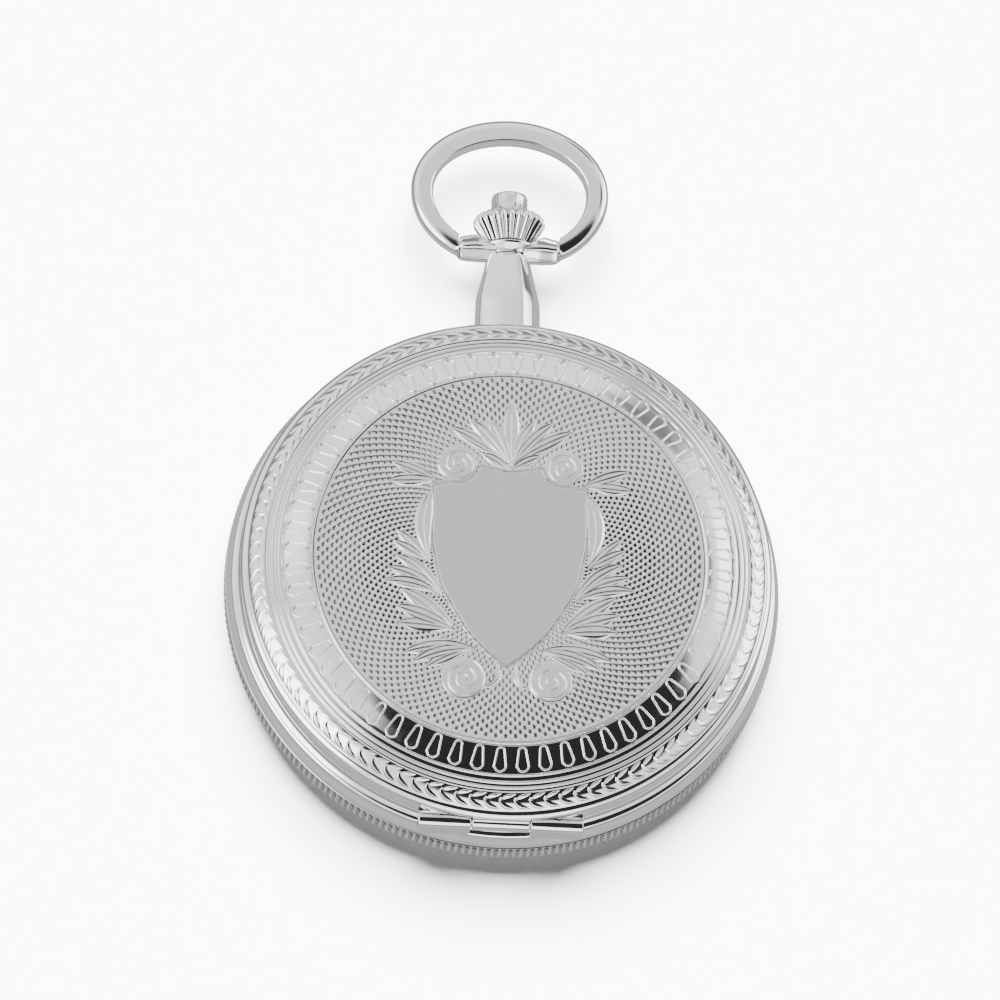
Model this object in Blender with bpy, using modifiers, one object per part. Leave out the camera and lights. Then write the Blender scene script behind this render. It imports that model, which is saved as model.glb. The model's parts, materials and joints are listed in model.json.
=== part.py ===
"""Hunter pocket watch with a hand-wound movement, as separate solids.

The watch lies on its back. +Z points out of the front lid, +Y to the pendant (12 o'clock) and +X to
3 o'clock. The origin is the centre of the flat on the back cover, on the axis of the hands.
Sizes below are in millimetres; MM turns them into metres.
"""
import math

import bmesh
import bpy
from mathutils import Matrix, Vector

MM = 0.001
GAP = 0.06                  # between pieces that are fixed to each other
TURNS = 36                  # facets of the big turned pieces
SMALL_TURNS = 12            # facets of arbors, pins and screws

# Case
CASE_RADIUS = 24.0
MEDALLION_RADIUS = 16.98
HEIGHT = 12.3               # back flat to medallion
BACK_FLAT_RADIUS = 12.0
BACK_RIM_Z = 2.3
BAND_TOP_Z = 6.4            # front edge of the reeded band
SEAT_Z = 8.88               # where the lid closes on the case middle
LID_EDGE_Z = 8.96
LID_WALL = 0.6
GROOVE_RADIUS = 22.85
CASE_BORE_RADIUS = 20.2

# Lid hinge at 6 o'clock
HINGE_Y = -22.75
HINGE_Z = 7.85
KNUCKLE_RADIUS = 0.75
PIN_RADIUS = 0.35
LID_KNUCKLE_WIDTH = 4.95
HINGE_WIDTH = 14.2

# Pendant, bow and crown at 12 o'clock
STEM_Z = 5.0
STEM_RADIUS = 0.6
NECK_BORE_RADIUS = 1.15
NECK_HALF_WIDTH = 2.7
NECK_TOP_HALF_WIDTH = 1.8
NECK_SHOULDER_Y = 26.9
NECK_TOP_Y = 30.2
BOW_PIVOT_Y = 31.5
COLLAR_HALF_WIDTH = 4.3
BOW_CENTRE_Y = 36.8
BOW_HALF_WIDTH = 7.6        # to the middle of the section
BOW_UPPER_HEIGHT = 5.6
BOW_LOWER_HEIGHT = 6.1
BOW_WIRE_RADIUS = 0.8
CROWN_BASE_Y = 32.8
CROWN_RADIUS = 3.1
CROWN_FLUTES = 24

# Layers of the movement, from the back to the dial
WINDING_LAYER = (1.6, 2.1)
BRIDGE_LAYER = (2.2, 3.1)
PLATE_LAYER = (6.45, 7.45)
DIAL_LAYER = (8.0, 8.35)
PLATE_RADIUS = 18.6
DIAL_RADIUS = 19.9

# Going train: teeth and modules give every centre distance
BARREL_TEETH, CENTRE_PINION, BARREL_MODULE = 80, 12, 0.2
CENTRE_TEETH, THIRD_PINION, CENTRE_MODULE = 80, 10, 0.15
THIRD_TEETH, FOURTH_PINION, THIRD_MODULE = 75, 10, 0.12
FOURTH_TEETH, ESCAPE_PINION, FOURTH_MODULE = 80, 8, 0.1
ESCAPE_TEETH = 15
ESCAPE_RADIUS = 2.5
FORK_DISTANCE = 3.3         # escape wheel to pallet fork
BALANCE_DISTANCE = 3.4      # pallet fork to balance
BALANCE_RADIUS = 5.0

# Motion work
CANNON_TEETH, MINUTE_TEETH, CANNON_MODULE = 12, 36, 0.15
MINUTE_PINION, HOUR_TEETH, HOUR_MODULE = 12, 48, 0.12
INTERMEDIATE_TEETH = 42

# Winding work
WINDING_PINION_TEETH, CONTRATE_TEETH = 16, 28
CROWN_WHEEL_TEETH, RATCHET_TEETH, WINDING_MODULE = 24, 46, 0.3
WINDING_PINION_Y = 16.9
CONTRATE_RADIUS = 2.4
PINION_RADIUS = 1.35

DIAL_CENTRE = Vector((0, 0))
SPOKE_OFFSET = 20           # degrees, where the first spoke of a wheel stands
PIVOT = 0.13                # radius of a train pivot


def pitch(teeth, module):
    """Pitch radius of a wheel."""
    return teeth * module / 2


def polar(radius, degrees):
    """Point at a radius and an angle from +X."""
    angle = math.radians(degrees)
    return Vector((radius * math.cos(angle), radius * math.sin(angle)))


def meeting_point(first, first_distance, second, second_distance, side):
    """Point at given distances from two centres, on the left (1) or right (-1) of first to second."""
    span = second - first
    along = (first_distance ** 2 - second_distance ** 2 + span.length_squared) / (2 * span.length)
    across = math.sqrt(first_distance ** 2 - along ** 2)
    unit = span.normalized()
    return first + unit * along + Vector((-unit.y, unit.x)) * across * side


# Centres of the wheels, seen from the dial side
CROWN_WHEEL_AT = Vector((0, WINDING_PINION_Y - CONTRATE_RADIUS))
CROWN_SCREW_AT = CROWN_WHEEL_AT + Vector((-4.4, 0.4))
BARREL_AT = meeting_point(
    DIAL_CENTRE, pitch(BARREL_TEETH + CENTRE_PINION, BARREL_MODULE),
    CROWN_WHEEL_AT, pitch(CROWN_WHEEL_TEETH + RATCHET_TEETH, WINDING_MODULE), -1)
THIRD_AT = polar(pitch(CENTRE_TEETH + THIRD_PINION, CENTRE_MODULE), -65)
THIRD_TO_FOURTH = pitch(THIRD_TEETH + FOURTH_PINION, THIRD_MODULE)
FOURTH_AT = Vector((0, THIRD_AT.y - math.sqrt(THIRD_TO_FOURTH ** 2 - THIRD_AT.x ** 2)))
ESCAPE_AT = FOURTH_AT + polar(pitch(FOURTH_TEETH + ESCAPE_PINION, FOURTH_MODULE), 165)
BALANCE_AT = ESCAPE_AT + polar(FORK_DISTANCE + BALANCE_DISTANCE, 156)
FORK_AT = ESCAPE_AT + polar(FORK_DISTANCE, 156)
MINUTE_AT = polar(pitch(CANNON_TEETH + MINUTE_TEETH, CANNON_MODULE), 128)
INTERMEDIATE_AT = MINUTE_AT + polar(pitch(MINUTE_TEETH + INTERMEDIATE_TEETH, CANNON_MODULE), 78)

# Bridges and their jewels
COCK_FOOT_AT = Vector((-15.0, 1.0))
BRIDGE_PILLARS = {
    "barrel_bridge": (Vector((16.6, -2.6)), Vector((4.6, 16.3)), Vector((-6.0, 11.8))),
    "train_bridge": (Vector((8.8, -12.0)), Vector((-6.4, -14.4))),
}
PILLAR_RADIUS = 1.0
JEWELS = {"third_jewel": THIRD_AT, "fourth_jewel": FOURTH_AT, "escape_jewel": ESCAPE_AT}
JEWEL_RADIUS = 0.75


for old in list(bpy.data.objects):
    bpy.data.objects.remove(old, do_unlink=True)

parts = bpy.data.collections.new("hunter_pocket_watch")
tools = bpy.data.collections.new("cutters")
bpy.context.scene.collection.children.link(parts)
bpy.context.scene.collection.children.link(tools)


def metal(name, colour, roughness, metallic=1.0, alpha=1.0):
    """Principled material."""
    made = bpy.data.materials.new(name)
    made.use_nodes = True
    shader = made.node_tree.nodes["Principled BSDF"]
    shader.inputs["Base Color"].default_value = (*colour, 1)
    shader.inputs["Roughness"].default_value = roughness
    shader.inputs["Metallic"].default_value = metallic
    shader.inputs["Alpha"].default_value = alpha
    made.diffuse_color = (*colour, alpha)
    return made


CHROME = metal("polished_case", (0.82, 0.83, 0.84), 0.12)
SATIN = metal("satin_lid", (0.72, 0.73, 0.74), 0.28)
STEEL = metal("polished_steel", (0.62, 0.64, 0.67), 0.22)
BLUE = metal("blued_steel", (0.03, 0.07, 0.30), 0.25)
BRASS = metal("gilt_brass", (0.83, 0.62, 0.27), 0.30)
NICKEL = metal("nickel_plate", (0.66, 0.65, 0.62), 0.32)
ENAMEL = metal("white_enamel", (0.92, 0.91, 0.87), 0.25, metallic=0.0)
CRYSTAL = metal("mineral_crystal", (0.95, 0.97, 0.98), 0.02, metallic=0.0, alpha=0.3)
RUBY = metal("ruby", (0.62, 0.03, 0.10), 0.08, metallic=0.0)


def add_object(name, data, material, collection=parts):
    """Object in a collection, with its material."""
    made = bpy.data.objects.new(name, data)
    collection.objects.link(made)
    data.materials.append(material)
    return made


def mesh_object(name, bm, material, collection=parts):
    """Object from a bmesh that is in millimetres."""
    bmesh.ops.scale(bm, vec=(MM, MM, MM), verts=bm.verts)
    data = bpy.data.meshes.new(name)
    bm.to_mesh(data)
    bm.free()
    return add_object(name, data, material, collection)


def turn_axis(made, axis, centre):
    """Stand a piece that was turned about Z on another axis, at its centre."""
    turns = {"Z": Matrix.Identity(4), "X": Matrix.Rotation(math.pi / 2, 4, "Y"),
             "Y": Matrix.Rotation(-math.pi / 2, 4, "X")}
    place = Matrix.Translation(Vector(centre) * MM)
    made.matrix_world = place @ turns[axis]


def turned(name, profile, material, centre=(0, 0, 0), axis="Z", turns=TURNS, collection=parts):
    """Lathe piece: profile of (radius, height) that runs down the outside; it closes by itself."""
    bm = bmesh.new()
    points = [bm.verts.new((radius * MM, 0, height * MM)) for radius, height in profile]
    for first, second in zip(points, points[1:]):
        bm.edges.new((first, second))
    if profile[0][0] > 0 or profile[-1][0] > 0:
        bm.edges.new((points[-1], points[0]))
    data = bpy.data.meshes.new(name)
    bm.to_mesh(data)
    bm.free()
    made = add_object(name, data, material, collection)
    screw = made.modifiers.new("turn", "SCREW")
    screw.axis = "Z"
    screw.steps = turns
    screw.render_steps = turns
    screw.use_merge_vertices = True
    screw.merge_threshold = 0.000002
    screw.use_smooth_shade = True
    turn_axis(made, axis, centre)
    return made


def cylinder(name, radius, low, high, material, centre=(0, 0), axis="Z", turns=SMALL_TURNS,
             top_radius=None, collection=parts):
    """Cylinder or cone between two heights along its axis; centre is in the plane across it."""
    bm = bmesh.new()
    bmesh.ops.create_cone(
        bm, cap_ends=True, segments=turns, radius1=radius,
        radius2=radius if top_radius is None else top_radius, depth=high - low)
    bmesh.ops.translate(bm, vec=(0, 0, (high + low) / 2), verts=bm.verts)
    made = mesh_object(name, bm, material, collection)
    first, second = centre
    place = {"Z": (first, second, 0), "X": (0, first, second), "Y": (first, 0, second)}
    turn_axis(made, axis, place[axis])
    return made


def box(name, low, high, material, collection=parts):
    """Block between two corners."""
    bm = bmesh.new()
    bmesh.ops.create_cube(bm, size=1)
    size = Vector(high) - Vector(low)
    bmesh.ops.scale(bm, vec=size, verts=bm.verts)
    bmesh.ops.translate(bm, vec=(Vector(high) + Vector(low)) / 2, verts=bm.verts)
    return mesh_object(name, bm, material, collection)


def flat(name, outlines, low, high, material, collection=parts):
    """Flat piece: its outline, then its holes, between two heights."""
    curve = bpy.data.curves.new(name, "CURVE")
    curve.dimensions = "2D"
    curve.fill_mode = "BOTH"
    curve.extrude = (high - low) / 2 * MM
    for outline in outlines:
        spline = curve.splines.new("POLY")
        spline.points.add(len(outline) - 1)
        for point, place in zip(spline.points, outline):
            point.co = (place[0] * MM, place[1] * MM, 0, 1)
        spline.use_cyclic_u = True
    shape = bpy.data.objects.new(name + "_outline", curve)
    tools.objects.link(shape)
    bpy.context.view_layer.update()
    evaluated = shape.evaluated_get(bpy.context.evaluated_depsgraph_get())
    data = bpy.data.meshes.new_from_object(evaluated)
    bpy.data.objects.remove(shape, do_unlink=True)
    bm = bmesh.new()
    bm.from_mesh(data)
    bmesh.ops.remove_doubles(bm, verts=bm.verts, dist=0.000001)
    bmesh.ops.translate(bm, vec=(0, 0, (high + low) / 2 * MM), verts=bm.verts)
    bmesh.ops.recalc_face_normals(bm, faces=bm.faces)
    bm.to_mesh(data)
    bm.free()
    data.materials.clear()
    return add_object(name, data, material, collection)


def circle(centre, radius, points=SMALL_TURNS):
    """Round outline."""
    return [Vector(centre) + polar(radius, 360 * k / points) for k in range(points)]


def capsule(first, second, first_radius, second_radius, points=6):
    """Outline of an arm with round ends."""
    first, second = Vector(first), Vector(second)
    heading = math.degrees(math.atan2(second.y - first.y, second.x - first.x))
    outline = []
    for centre, radius, start in ((second, second_radius, heading - 90), (first, first_radius, heading + 90)):
        outline += [centre + polar(radius, start + 180 * k / points) for k in range(points + 1)]
    return outline


def arc(radius, start, stop, points):
    """Arc about the dial centre."""
    return [polar(radius, start + (stop - start) * k / (points - 1)) for k in range(points)]


def toothed(centre, teeth, module, phase=0.0):
    """Outline of a wheel: a tip and a root for each tooth; phase 0 puts a tip on +X, 0.5 a gap."""
    outline = []
    for k in range(teeth):
        step = 360 / teeth
        outline.append(Vector(centre) + polar(pitch(teeth, module) + 0.62 * module, (k + phase) * step))
        outline.append(Vector(centre) + polar(pitch(teeth, module) - 0.95 * module, (k + phase + 0.5) * step))
    return outline


def mesh_phase(teeth, heading, tip):
    """Phase that puts a tip (or a gap) of a wheel at a heading in degrees."""
    turn = heading * teeth / 360
    return turn if tip else turn + 0.5


def heading(first, second):
    """Direction from one centre to another, in degrees."""
    return math.degrees(math.atan2(second.y - first.y, second.x - first.x))


def as_tool(made):
    """Hide an object that only shapes another."""
    if made.name in parts.objects:
        parts.objects.unlink(made)
        tools.objects.link(made)
    made.hide_render = True
    made.display_type = "WIRE"
    return made


def shape_with(target, operation, others):
    """Boolean the others into or out of a piece."""
    for other in others:
        as_tool(other)
        step = target.modifiers.new(operation.lower() + "_" + other.name, "BOOLEAN")
        step.operation = operation
        step.object = other
    return target


def join(target, *others):
    """Union."""
    return shape_with(target, "UNION", others)


def cut(target, *others):
    """Difference."""
    return shape_with(target, "DIFFERENCE", others)


# ---------------------------------------------------------------- case

LID_OUTSIDE = (
    (MEDALLION_RADIUS, HEIGHT), (17.25, 12.18), (19.4, 11.38), (19.7, 11.25), (20.45, 10.72),
    (20.97, 10.87), (22.33, 9.85), (22.9, 9.4), (23.0, LID_EDGE_Z + 0.08))

BAND_OUTSIDE = (
    (22.55, SEAT_Z), (GROOVE_RADIUS, 8.5), (GROOVE_RADIUS, 6.75), (23.5, BAND_TOP_Z), (23.85, 5.4),
    (CASE_RADIUS, 4.6), (CASE_RADIUS, 3.2), (23.6, BACK_RIM_Z + GAP))


def grown(outline, amount):
    """Profile moved outwards."""
    return [(radius + amount, height) for radius, height in outline]


def front_lid():
    """Domed front lid with its own hinge knuckle."""
    inside = [(22.4, LID_EDGE_Z), (22.0, 9.12), (22.4, 9.3), (21.9, 9.75), (20.4, 10.12),
              (19.2, 10.72), (16.9, HEIGHT - LID_WALL)]
    profile = [(0, HEIGHT), *LID_OUTSIDE, (22.95, LID_EDGE_Z), *inside, (0, HEIGHT - LID_WALL)]
    lid = turned("front_lid", profile, SATIN)
    half = LID_KNUCKLE_WIDTH / 2
    knuckle = cylinder("lid_knuckle", KNUCKLE_RADIUS, -half, half, SATIN, (HINGE_Y, HINGE_Z), "X", 16)
    leaf = box("lid_leaf", (-half, -23.0, HINGE_Z + 0.3), (half, -22.3, 9.25), SATIN)
    pin_hole = cylinder("lid_pin_hole", PIN_RADIUS + GAP, -half - 1, half + 1, SATIN,
                        (HINGE_Y, HINGE_Z), "X")
    join(lid, knuckle, leaf)
    cut(lid, pin_hole)


def case_middle():
    """Ring that everything is built on, with the two outer knuckles of the hinge."""
    inside = [(22.04, BACK_RIM_Z + GAP), (22.04, 1.75), (CASE_BORE_RADIUS, 1.75),
              (CASE_BORE_RADIUS, 7.9), (21.3, 7.9), (21.3, SEAT_Z)]
    ring = turned("case_middle", [*BAND_OUTSIDE, *inside], CHROME)
    inner, outer = LID_KNUCKLE_WIDTH / 2 + 0.1, HINGE_WIDTH / 2
    for side in (-1, 1):
        low, high = sorted((side * inner, side * outer))
        knuckle = cylinder("case_knuckle", KNUCKLE_RADIUS, low, high, CHROME, (HINGE_Y, HINGE_Z), "X", 16)
        foot = box("case_knuckle_foot", (low, -23.3, 6.2), (high, -21.2, HINGE_Z), CHROME)
        join(ring, knuckle, foot)
    notch = cylinder("knuckle_notch", KNUCKLE_RADIUS + 0.15, -inner, inner, CHROME,
                     (HINGE_Y, HINGE_Z), "X", 16)
    leaf_notch = box("leaf_notch", (-inner, -23.6, HINGE_Z), (inner, -22.1, 9.2), CHROME)
    pin_hole = cylinder("case_pin_hole", PIN_RADIUS + GAP, -outer - 1, outer + 1, CHROME,
                        (HINGE_Y, HINGE_Z), "X")
    stem_hole = cylinder("case_stem_hole", NECK_BORE_RADIUS, 18, 26, CHROME, (0, STEM_Z), "Y")
    latch_slot = box("latch_slot", (-1.9, 21.2, 6.6), (1.9, 22.45, 9.4), CHROME)
    spring_slot = box("lift_spring_slot", (-6.6, -22.1, 7.5), (6.6, -20, 9.4), CHROME)
    cut(ring, notch, leaf_notch, pin_hole, stem_hole, latch_slot, spring_slot)


def back_cover():
    """Shallow snap-on dome with a flat centre."""
    outside = [(23.55, BACK_RIM_Z), (23.3, 1.75), (21.2, 0.75), (17.5, 0.2), (BACK_FLAT_RADIUS, 0), (0, 0)]
    inside = [(0, 0.5), (11.5, 0.5), (17.2, 0.75), (20.8, 1.25), (22.1, 1.6), (22.1, BACK_RIM_Z)]
    turned("back_cover", [*inside, *outside], CHROME)


def bezel_and_crystal():
    """Ring that holds the domed crystal over the dial."""
    turned("bezel", [(19.15, 9.95), (20.5, 9.95), (21.2, 9.35), (21.2, 7.98), (20.35, 7.98),
                     (20.35, 9.25), (19.15, 9.25)], CHROME)
    outside = [(0, 10.8), (10, 10.58), (16, 10.05), (19.05, 9.48), (19.05, 9.18), (20.25, 9.18),
               (20.25, 8.75)]
    inside = [(18.6, 8.75), (16, 9.4), (9.5, 9.9), (0, 10.12)]
    turned("crystal", [*outside, *inside], CRYSTAL)


def hinge_pin():
    """Pin through the three knuckles."""
    cylinder("hinge_pin", PIN_RADIUS, -HINGE_WIDTH / 2 + 0.05, HINGE_WIDTH / 2 - 0.05, STEEL,
             (HINGE_Y, HINGE_Z), "X")


def lid_springs():
    """Lift spring at the hinge and lock spring at 12 o'clock."""
    middle = 21.75
    half_angle = 15
    back = [polar(middle + 0.15, angle) for angle in range(-90 + half_angle, -90 - half_angle - 1, -5)]
    front = [polar(middle - 0.15, angle) for angle in range(-90 - half_angle, -90 + half_angle + 1, 5)]
    flat("lid_lift_spring", [back + front], 7.62, 8.7, STEEL)
    latch = box("lid_latch", (-1.2, 21.5, 6.75), (1.2, 21.82, 9.42), STEEL)
    nose = box("latch_nose", (-0.9, 21.7, 9.26), (0.9, 22.12, 9.42), STEEL)
    join(latch, nose)


# ---------------------------------------------------------------- pendant, bow and crown

def section(half_width, half_depth):
    """Eight-sided section across the pendant neck, in x and z about the stem."""
    corner = 0.55
    return [(half_width, half_depth * corner), (half_width * corner, half_depth),
            (-half_width * corner, half_depth), (-half_width, half_depth * corner),
            (-half_width, -half_depth * corner), (-half_width * corner, -half_depth),
            (half_width * corner, -half_depth), (half_width, -half_depth * corner)]


def pendant_neck():
    """Faceted neck that tapers towards the bow, fitted to the side of the case."""
    stations = ((22.0, NECK_HALF_WIDTH, 2.45), (NECK_SHOULDER_Y, NECK_HALF_WIDTH, 2.3),
                (NECK_TOP_Y - 0.05, NECK_TOP_HALF_WIDTH, 1.7))
    bm = bmesh.new()
    rings = []
    for place, half_width, half_depth in stations:
        rings.append([bm.verts.new((x, place, STEM_Z + z)) for x, z in section(half_width, half_depth)])
    for low, high in zip(rings, rings[1:]):
        for k in range(8):
            bm.faces.new((low[k], low[(k + 1) % 8], high[(k + 1) % 8], high[k]))
    bm.faces.new(rings[0])
    bm.faces.new(rings[-1])
    bmesh.ops.recalc_face_normals(bm, faces=bm.faces)
    neck = mesh_object("pendant_neck", bm, CHROME)
    outside = grown(BAND_OUTSIDE, GAP)
    case_profile = [(0, SEAT_Z + 1), (outside[0][0], SEAT_Z + 1), *outside, (outside[-1][0], 0), (0, 0)]
    case_shape = turned("case_shape", case_profile, CHROME, collection=tools)
    bore = cylinder("neck_bore", NECK_BORE_RADIUS, 20, 31, CHROME, (0, STEM_Z), "Y")
    cut(neck, case_shape, bore)


def bow_collar():
    """Cross bar with two flared barrels that carry the bow."""
    collar = cylinder("bow_collar", 1.85, NECK_TOP_Y, BOW_PIVOT_Y + 0.64, CHROME, (0, STEM_Z), "Y", 16,
                      top_radius=1.5)
    for side in (-1, 1):
        barrel = turned("collar_barrel",
                        [(0, COLLAR_HALF_WIDTH), (1.25, COLLAR_HALF_WIDTH), (1.25, 3.7), (0.95, 2.9),
                         (0.68, 2.1), (0.68, 1.0), (0, 1.0)],
                        CHROME, (0, BOW_PIVOT_Y, STEM_Z), "X", 16)
        if side < 0:
            barrel.matrix_world = (Matrix.Translation((0, BOW_PIVOT_Y * MM, STEM_Z * MM))
                                   @ Matrix.Rotation(-math.pi / 2, 4, "Y"))
        join(collar, barrel)
    stem_hole = cylinder("collar_stem_hole", 0.9, 28, 34, CHROME, (0, STEM_Z), "Y")
    holes = []
    for side in (-1, 1):
        low, high = sorted((side * 2.9, side * (COLLAR_HALF_WIDTH + 1)))
        holes.append(cylinder("collar_pin_hole", 0.6, low, high, CHROME, (BOW_PIVOT_Y, STEM_Z), "X"))
    cut(collar, stem_hole, *holes)


def bow():
    """Oval bow on two pins."""
    curve = bpy.data.curves.new("bow_path", "CURVE")
    curve.dimensions = "3D"
    curve.bevel_depth = BOW_WIRE_RADIUS * MM
    curve.bevel_resolution = 2
    curve.use_fill_caps = True
    spline = curve.splines.new("POLY")
    path = []
    steps = 28
    for k in range(steps + 1):
        angle = math.radians(-62 + 304 * k / steps)
        height = BOW_UPPER_HEIGHT if math.sin(angle) > 0 else BOW_LOWER_HEIGHT
        path.append(Vector((BOW_HALF_WIDTH * math.cos(angle), BOW_CENTRE_Y + height * math.sin(angle))))
    spline.points.add(len(path) - 1)
    for point, place in zip(spline.points, path):
        point.co = (place.x * MM, place.y * MM, STEM_Z * MM, 1)
    wire = bpy.data.objects.new("bow_wire", curve)
    tools.objects.link(wire)
    bpy.context.view_layer.update()
    evaluated = wire.evaluated_get(bpy.context.evaluated_depsgraph_get())
    data = bpy.data.meshes.new_from_object(evaluated)
    bpy.data.objects.remove(wire, do_unlink=True)
    bm = bmesh.new()
    bm.from_mesh(data)
    bmesh.ops.remove_doubles(bm, verts=bm.verts, dist=0.000001)
    bmesh.ops.recalc_face_normals(bm, faces=bm.faces)
    bm.to_mesh(data)
    bm.free()
    data.materials.clear()
    ring = add_object("bow", data, CHROME)
    inside = COLLAR_HALF_WIDTH + 0.08
    low, high = (-inside, 28, STEM_Z - 2), (inside, BOW_PIVOT_Y + 2.5, STEM_Z + 2)
    cut(ring, box("bow_end_planes", low, high, CHROME))
    for side in (-1, 1):
        low, high = sorted((side * 3.1, side * 4.9))
        pin = cylinder("bow_pin", 0.5, low, high, CHROME, (BOW_PIVOT_Y, STEM_Z), "X")
        join(ring, pin)


def crown():
    """Fluted crown in two tiers."""
    profile = ((1.3, 0.0, 0), (2.5, 0.6, 1), (CROWN_RADIUS, 1.2, 1), (3.0, 1.8, 1), (1.6, 2.05, 1),
               (1.6, 3.2, 1), (1.3, 3.5, 0))
    bm = bmesh.new()
    count = CROWN_FLUTES * 2
    rings = []
    for radius, along, fluted in profile:
        ring = []
        for k in range(count):
            depth = 0.9 if fluted and k % 2 else 1.0
            spot = polar(radius * depth, 360 * k / count)
            ring.append(bm.verts.new((spot.x, CROWN_BASE_Y + along, STEM_Z + spot.y)))
        rings.append(ring)
    for low, high in zip(rings, rings[1:]):
        for k in range(count):
            bm.faces.new((low[k], low[(k + 1) % count], high[(k + 1) % count], high[k]))
    bm.faces.new(rings[0])
    bm.faces.new(rings[-1])
    bmesh.ops.recalc_face_normals(bm, faces=bm.faces)
    made = mesh_object("crown", bm, CHROME)
    socket = cylinder("crown_socket", STEM_RADIUS + GAP, 30, CROWN_BASE_Y + 1.8, CHROME, (0, STEM_Z), "Y")
    cut(made, socket)


def stem_and_sleeves():
    """Winding stem with its lever groove, the press sleeve and the pull clip."""
    profile = [(0, CROWN_BASE_Y + 1.7), (STEM_RADIUS, CROWN_BASE_Y + 1.7), (STEM_RADIUS, 19.2), (0.32, 19.2),
               (0.32, 18.0), (STEM_RADIUS, 18.0), (STEM_RADIUS, 12.9), (0, 12.9)]
    turned("winding_stem", profile, STEEL, (0, 0, STEM_Z), "Y", SMALL_TURNS)
    tube("press_sleeve", 0.68, 1.05, 22.6, 28.6)
    tube("pull_clip", 0.68, 0.82, 30.7, 31.3)


def tube(name, inner, outer, low, high, material=STEEL):
    """Ring on the stem's axis."""
    turned(name, [(inner, high), (outer, high), (outer, low), (inner, low)], material,
           (0, 0, STEM_Z), "Y", SMALL_TURNS)


# ---------------------------------------------------------------- movement

def arbor(name, centre, steps):
    """Stepped arbor: (radius, height) pairs from the top down."""
    return turned(name, [(0, steps[0][1]), *steps, (0, steps[-1][1])], STEEL, (*centre, 0), "Z", 8)


def spokes(centre, inner, outer, count, width):
    """Windows between the spokes of a wheel."""
    windows = []
    for k in range(count):
        start = 360 * k / count + SPOKE_OFFSET
        half_inner = math.degrees(math.asin(width / 2 / inner))
        half_outer = math.degrees(math.asin(width / 2 / outer))
        sweep = 360 / count
        far, near = sweep - 2 * half_outer, sweep - 2 * half_inner
        window = [polar(outer, start + half_outer + far * j / 3) for j in range(4)]
        window += [polar(inner, start + half_inner + near * (1 - j)) for j in range(2)]
        windows.append([Vector(centre) + place for place in window])
    return windows


def train_wheel(name, centre, teeth, module, layer, pinion, arbor_steps, wheel_heading, pinion_heading):
    """Wheel, pinion and arbor in one piece. Headings put a tip of each towards its neighbour."""
    outer = pitch(teeth, module) - 2.6 * module
    outline = toothed(centre, teeth, module, mesh_phase(teeth, wheel_heading, True))
    wheel = flat(name, [outline, *spokes(centre, 1.2, outer, 4, 0.7)], *layer, BRASS)
    leaves, leaf_module, leaf_layer = pinion
    leaf_outline = toothed(centre, leaves, leaf_module, mesh_phase(leaves, pinion_heading, False))
    leaf = flat(name + "_pinion", [leaf_outline], *leaf_layer, STEEL)
    axle = arbor(name + "_arbor", centre, arbor_steps)
    return join(wheel, leaf, axle)


def going_train():
    """Centre, third, fourth and escape wheels."""
    centre = Vector((0, 0))
    train_wheel("centre_wheel", centre, CENTRE_TEETH, CENTRE_MODULE, (3.35, 3.55),
                (CENTRE_PINION, BARREL_MODULE, (5.55, 6.15)),
                ((0.32, 7.62), (0.32, 6.4), (0.7, 6.2), (0.7, 3.3), (0.22, 3.2), (0.22, 2.4)),
                heading(centre, THIRD_AT), heading(centre, BARREL_AT))
    train_wheel("third_wheel", THIRD_AT, THIRD_TEETH, THIRD_MODULE, (4.85, 5.05),
                (THIRD_PINION, CENTRE_MODULE, (3.25, 3.65)),
                ((PIVOT, 7.0), (PIVOT, 6.4), (0.35, 6.3), (0.35, 3.2), (PIVOT, 3.1), (PIVOT, 2.4)),
                heading(THIRD_AT, FOURTH_AT), heading(THIRD_AT, centre))
    train_wheel("fourth_wheel", FOURTH_AT, FOURTH_TEETH, FOURTH_MODULE, (4.2, 4.38),
                (FOURTH_PINION, THIRD_MODULE, (4.75, 5.15)),
                ((0.15, 8.48), (0.15, 6.4), (0.3, 6.3), (0.3, 3.2), (PIVOT, 3.1), (PIVOT, 2.4)),
                heading(FOURTH_AT, ESCAPE_AT), heading(FOURTH_AT, THIRD_AT))
    escape_wheel()


def escape_wheel():
    """Club-tooth escape wheel on its pinion."""
    outline = []
    for k in range(ESCAPE_TEETH):
        start = 360 * k / ESCAPE_TEETH + 168
        outline.append(ESCAPE_AT + polar(ESCAPE_RADIUS, start))
        outline.append(ESCAPE_AT + polar(ESCAPE_RADIUS * 0.97, start + 3.5))
        outline.append(ESCAPE_AT + polar(ESCAPE_RADIUS * 0.74, start + 4))
        outline.append(ESCAPE_AT + polar(ESCAPE_RADIUS * 0.74, start + 18))
    wheel = flat("escape_wheel", [outline, *spokes(ESCAPE_AT, 0.75, 1.45, 4, 0.4)], 4.9, 5.08, STEEL)
    back = mesh_phase(ESCAPE_PINION, heading(ESCAPE_AT, FOURTH_AT), False)
    leaf = flat("escape_pinion", [toothed(ESCAPE_AT, ESCAPE_PINION, FOURTH_MODULE, back)], 4.1, 4.5, STEEL)
    axle = arbor("escape_arbor", ESCAPE_AT, ((PIVOT, 7.0), (PIVOT, 6.4), (0.25, 6.3), (0.25, 3.2),
                                             (PIVOT, 3.1), (PIVOT, 2.4)))
    join(wheel, leaf, axle)


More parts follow.
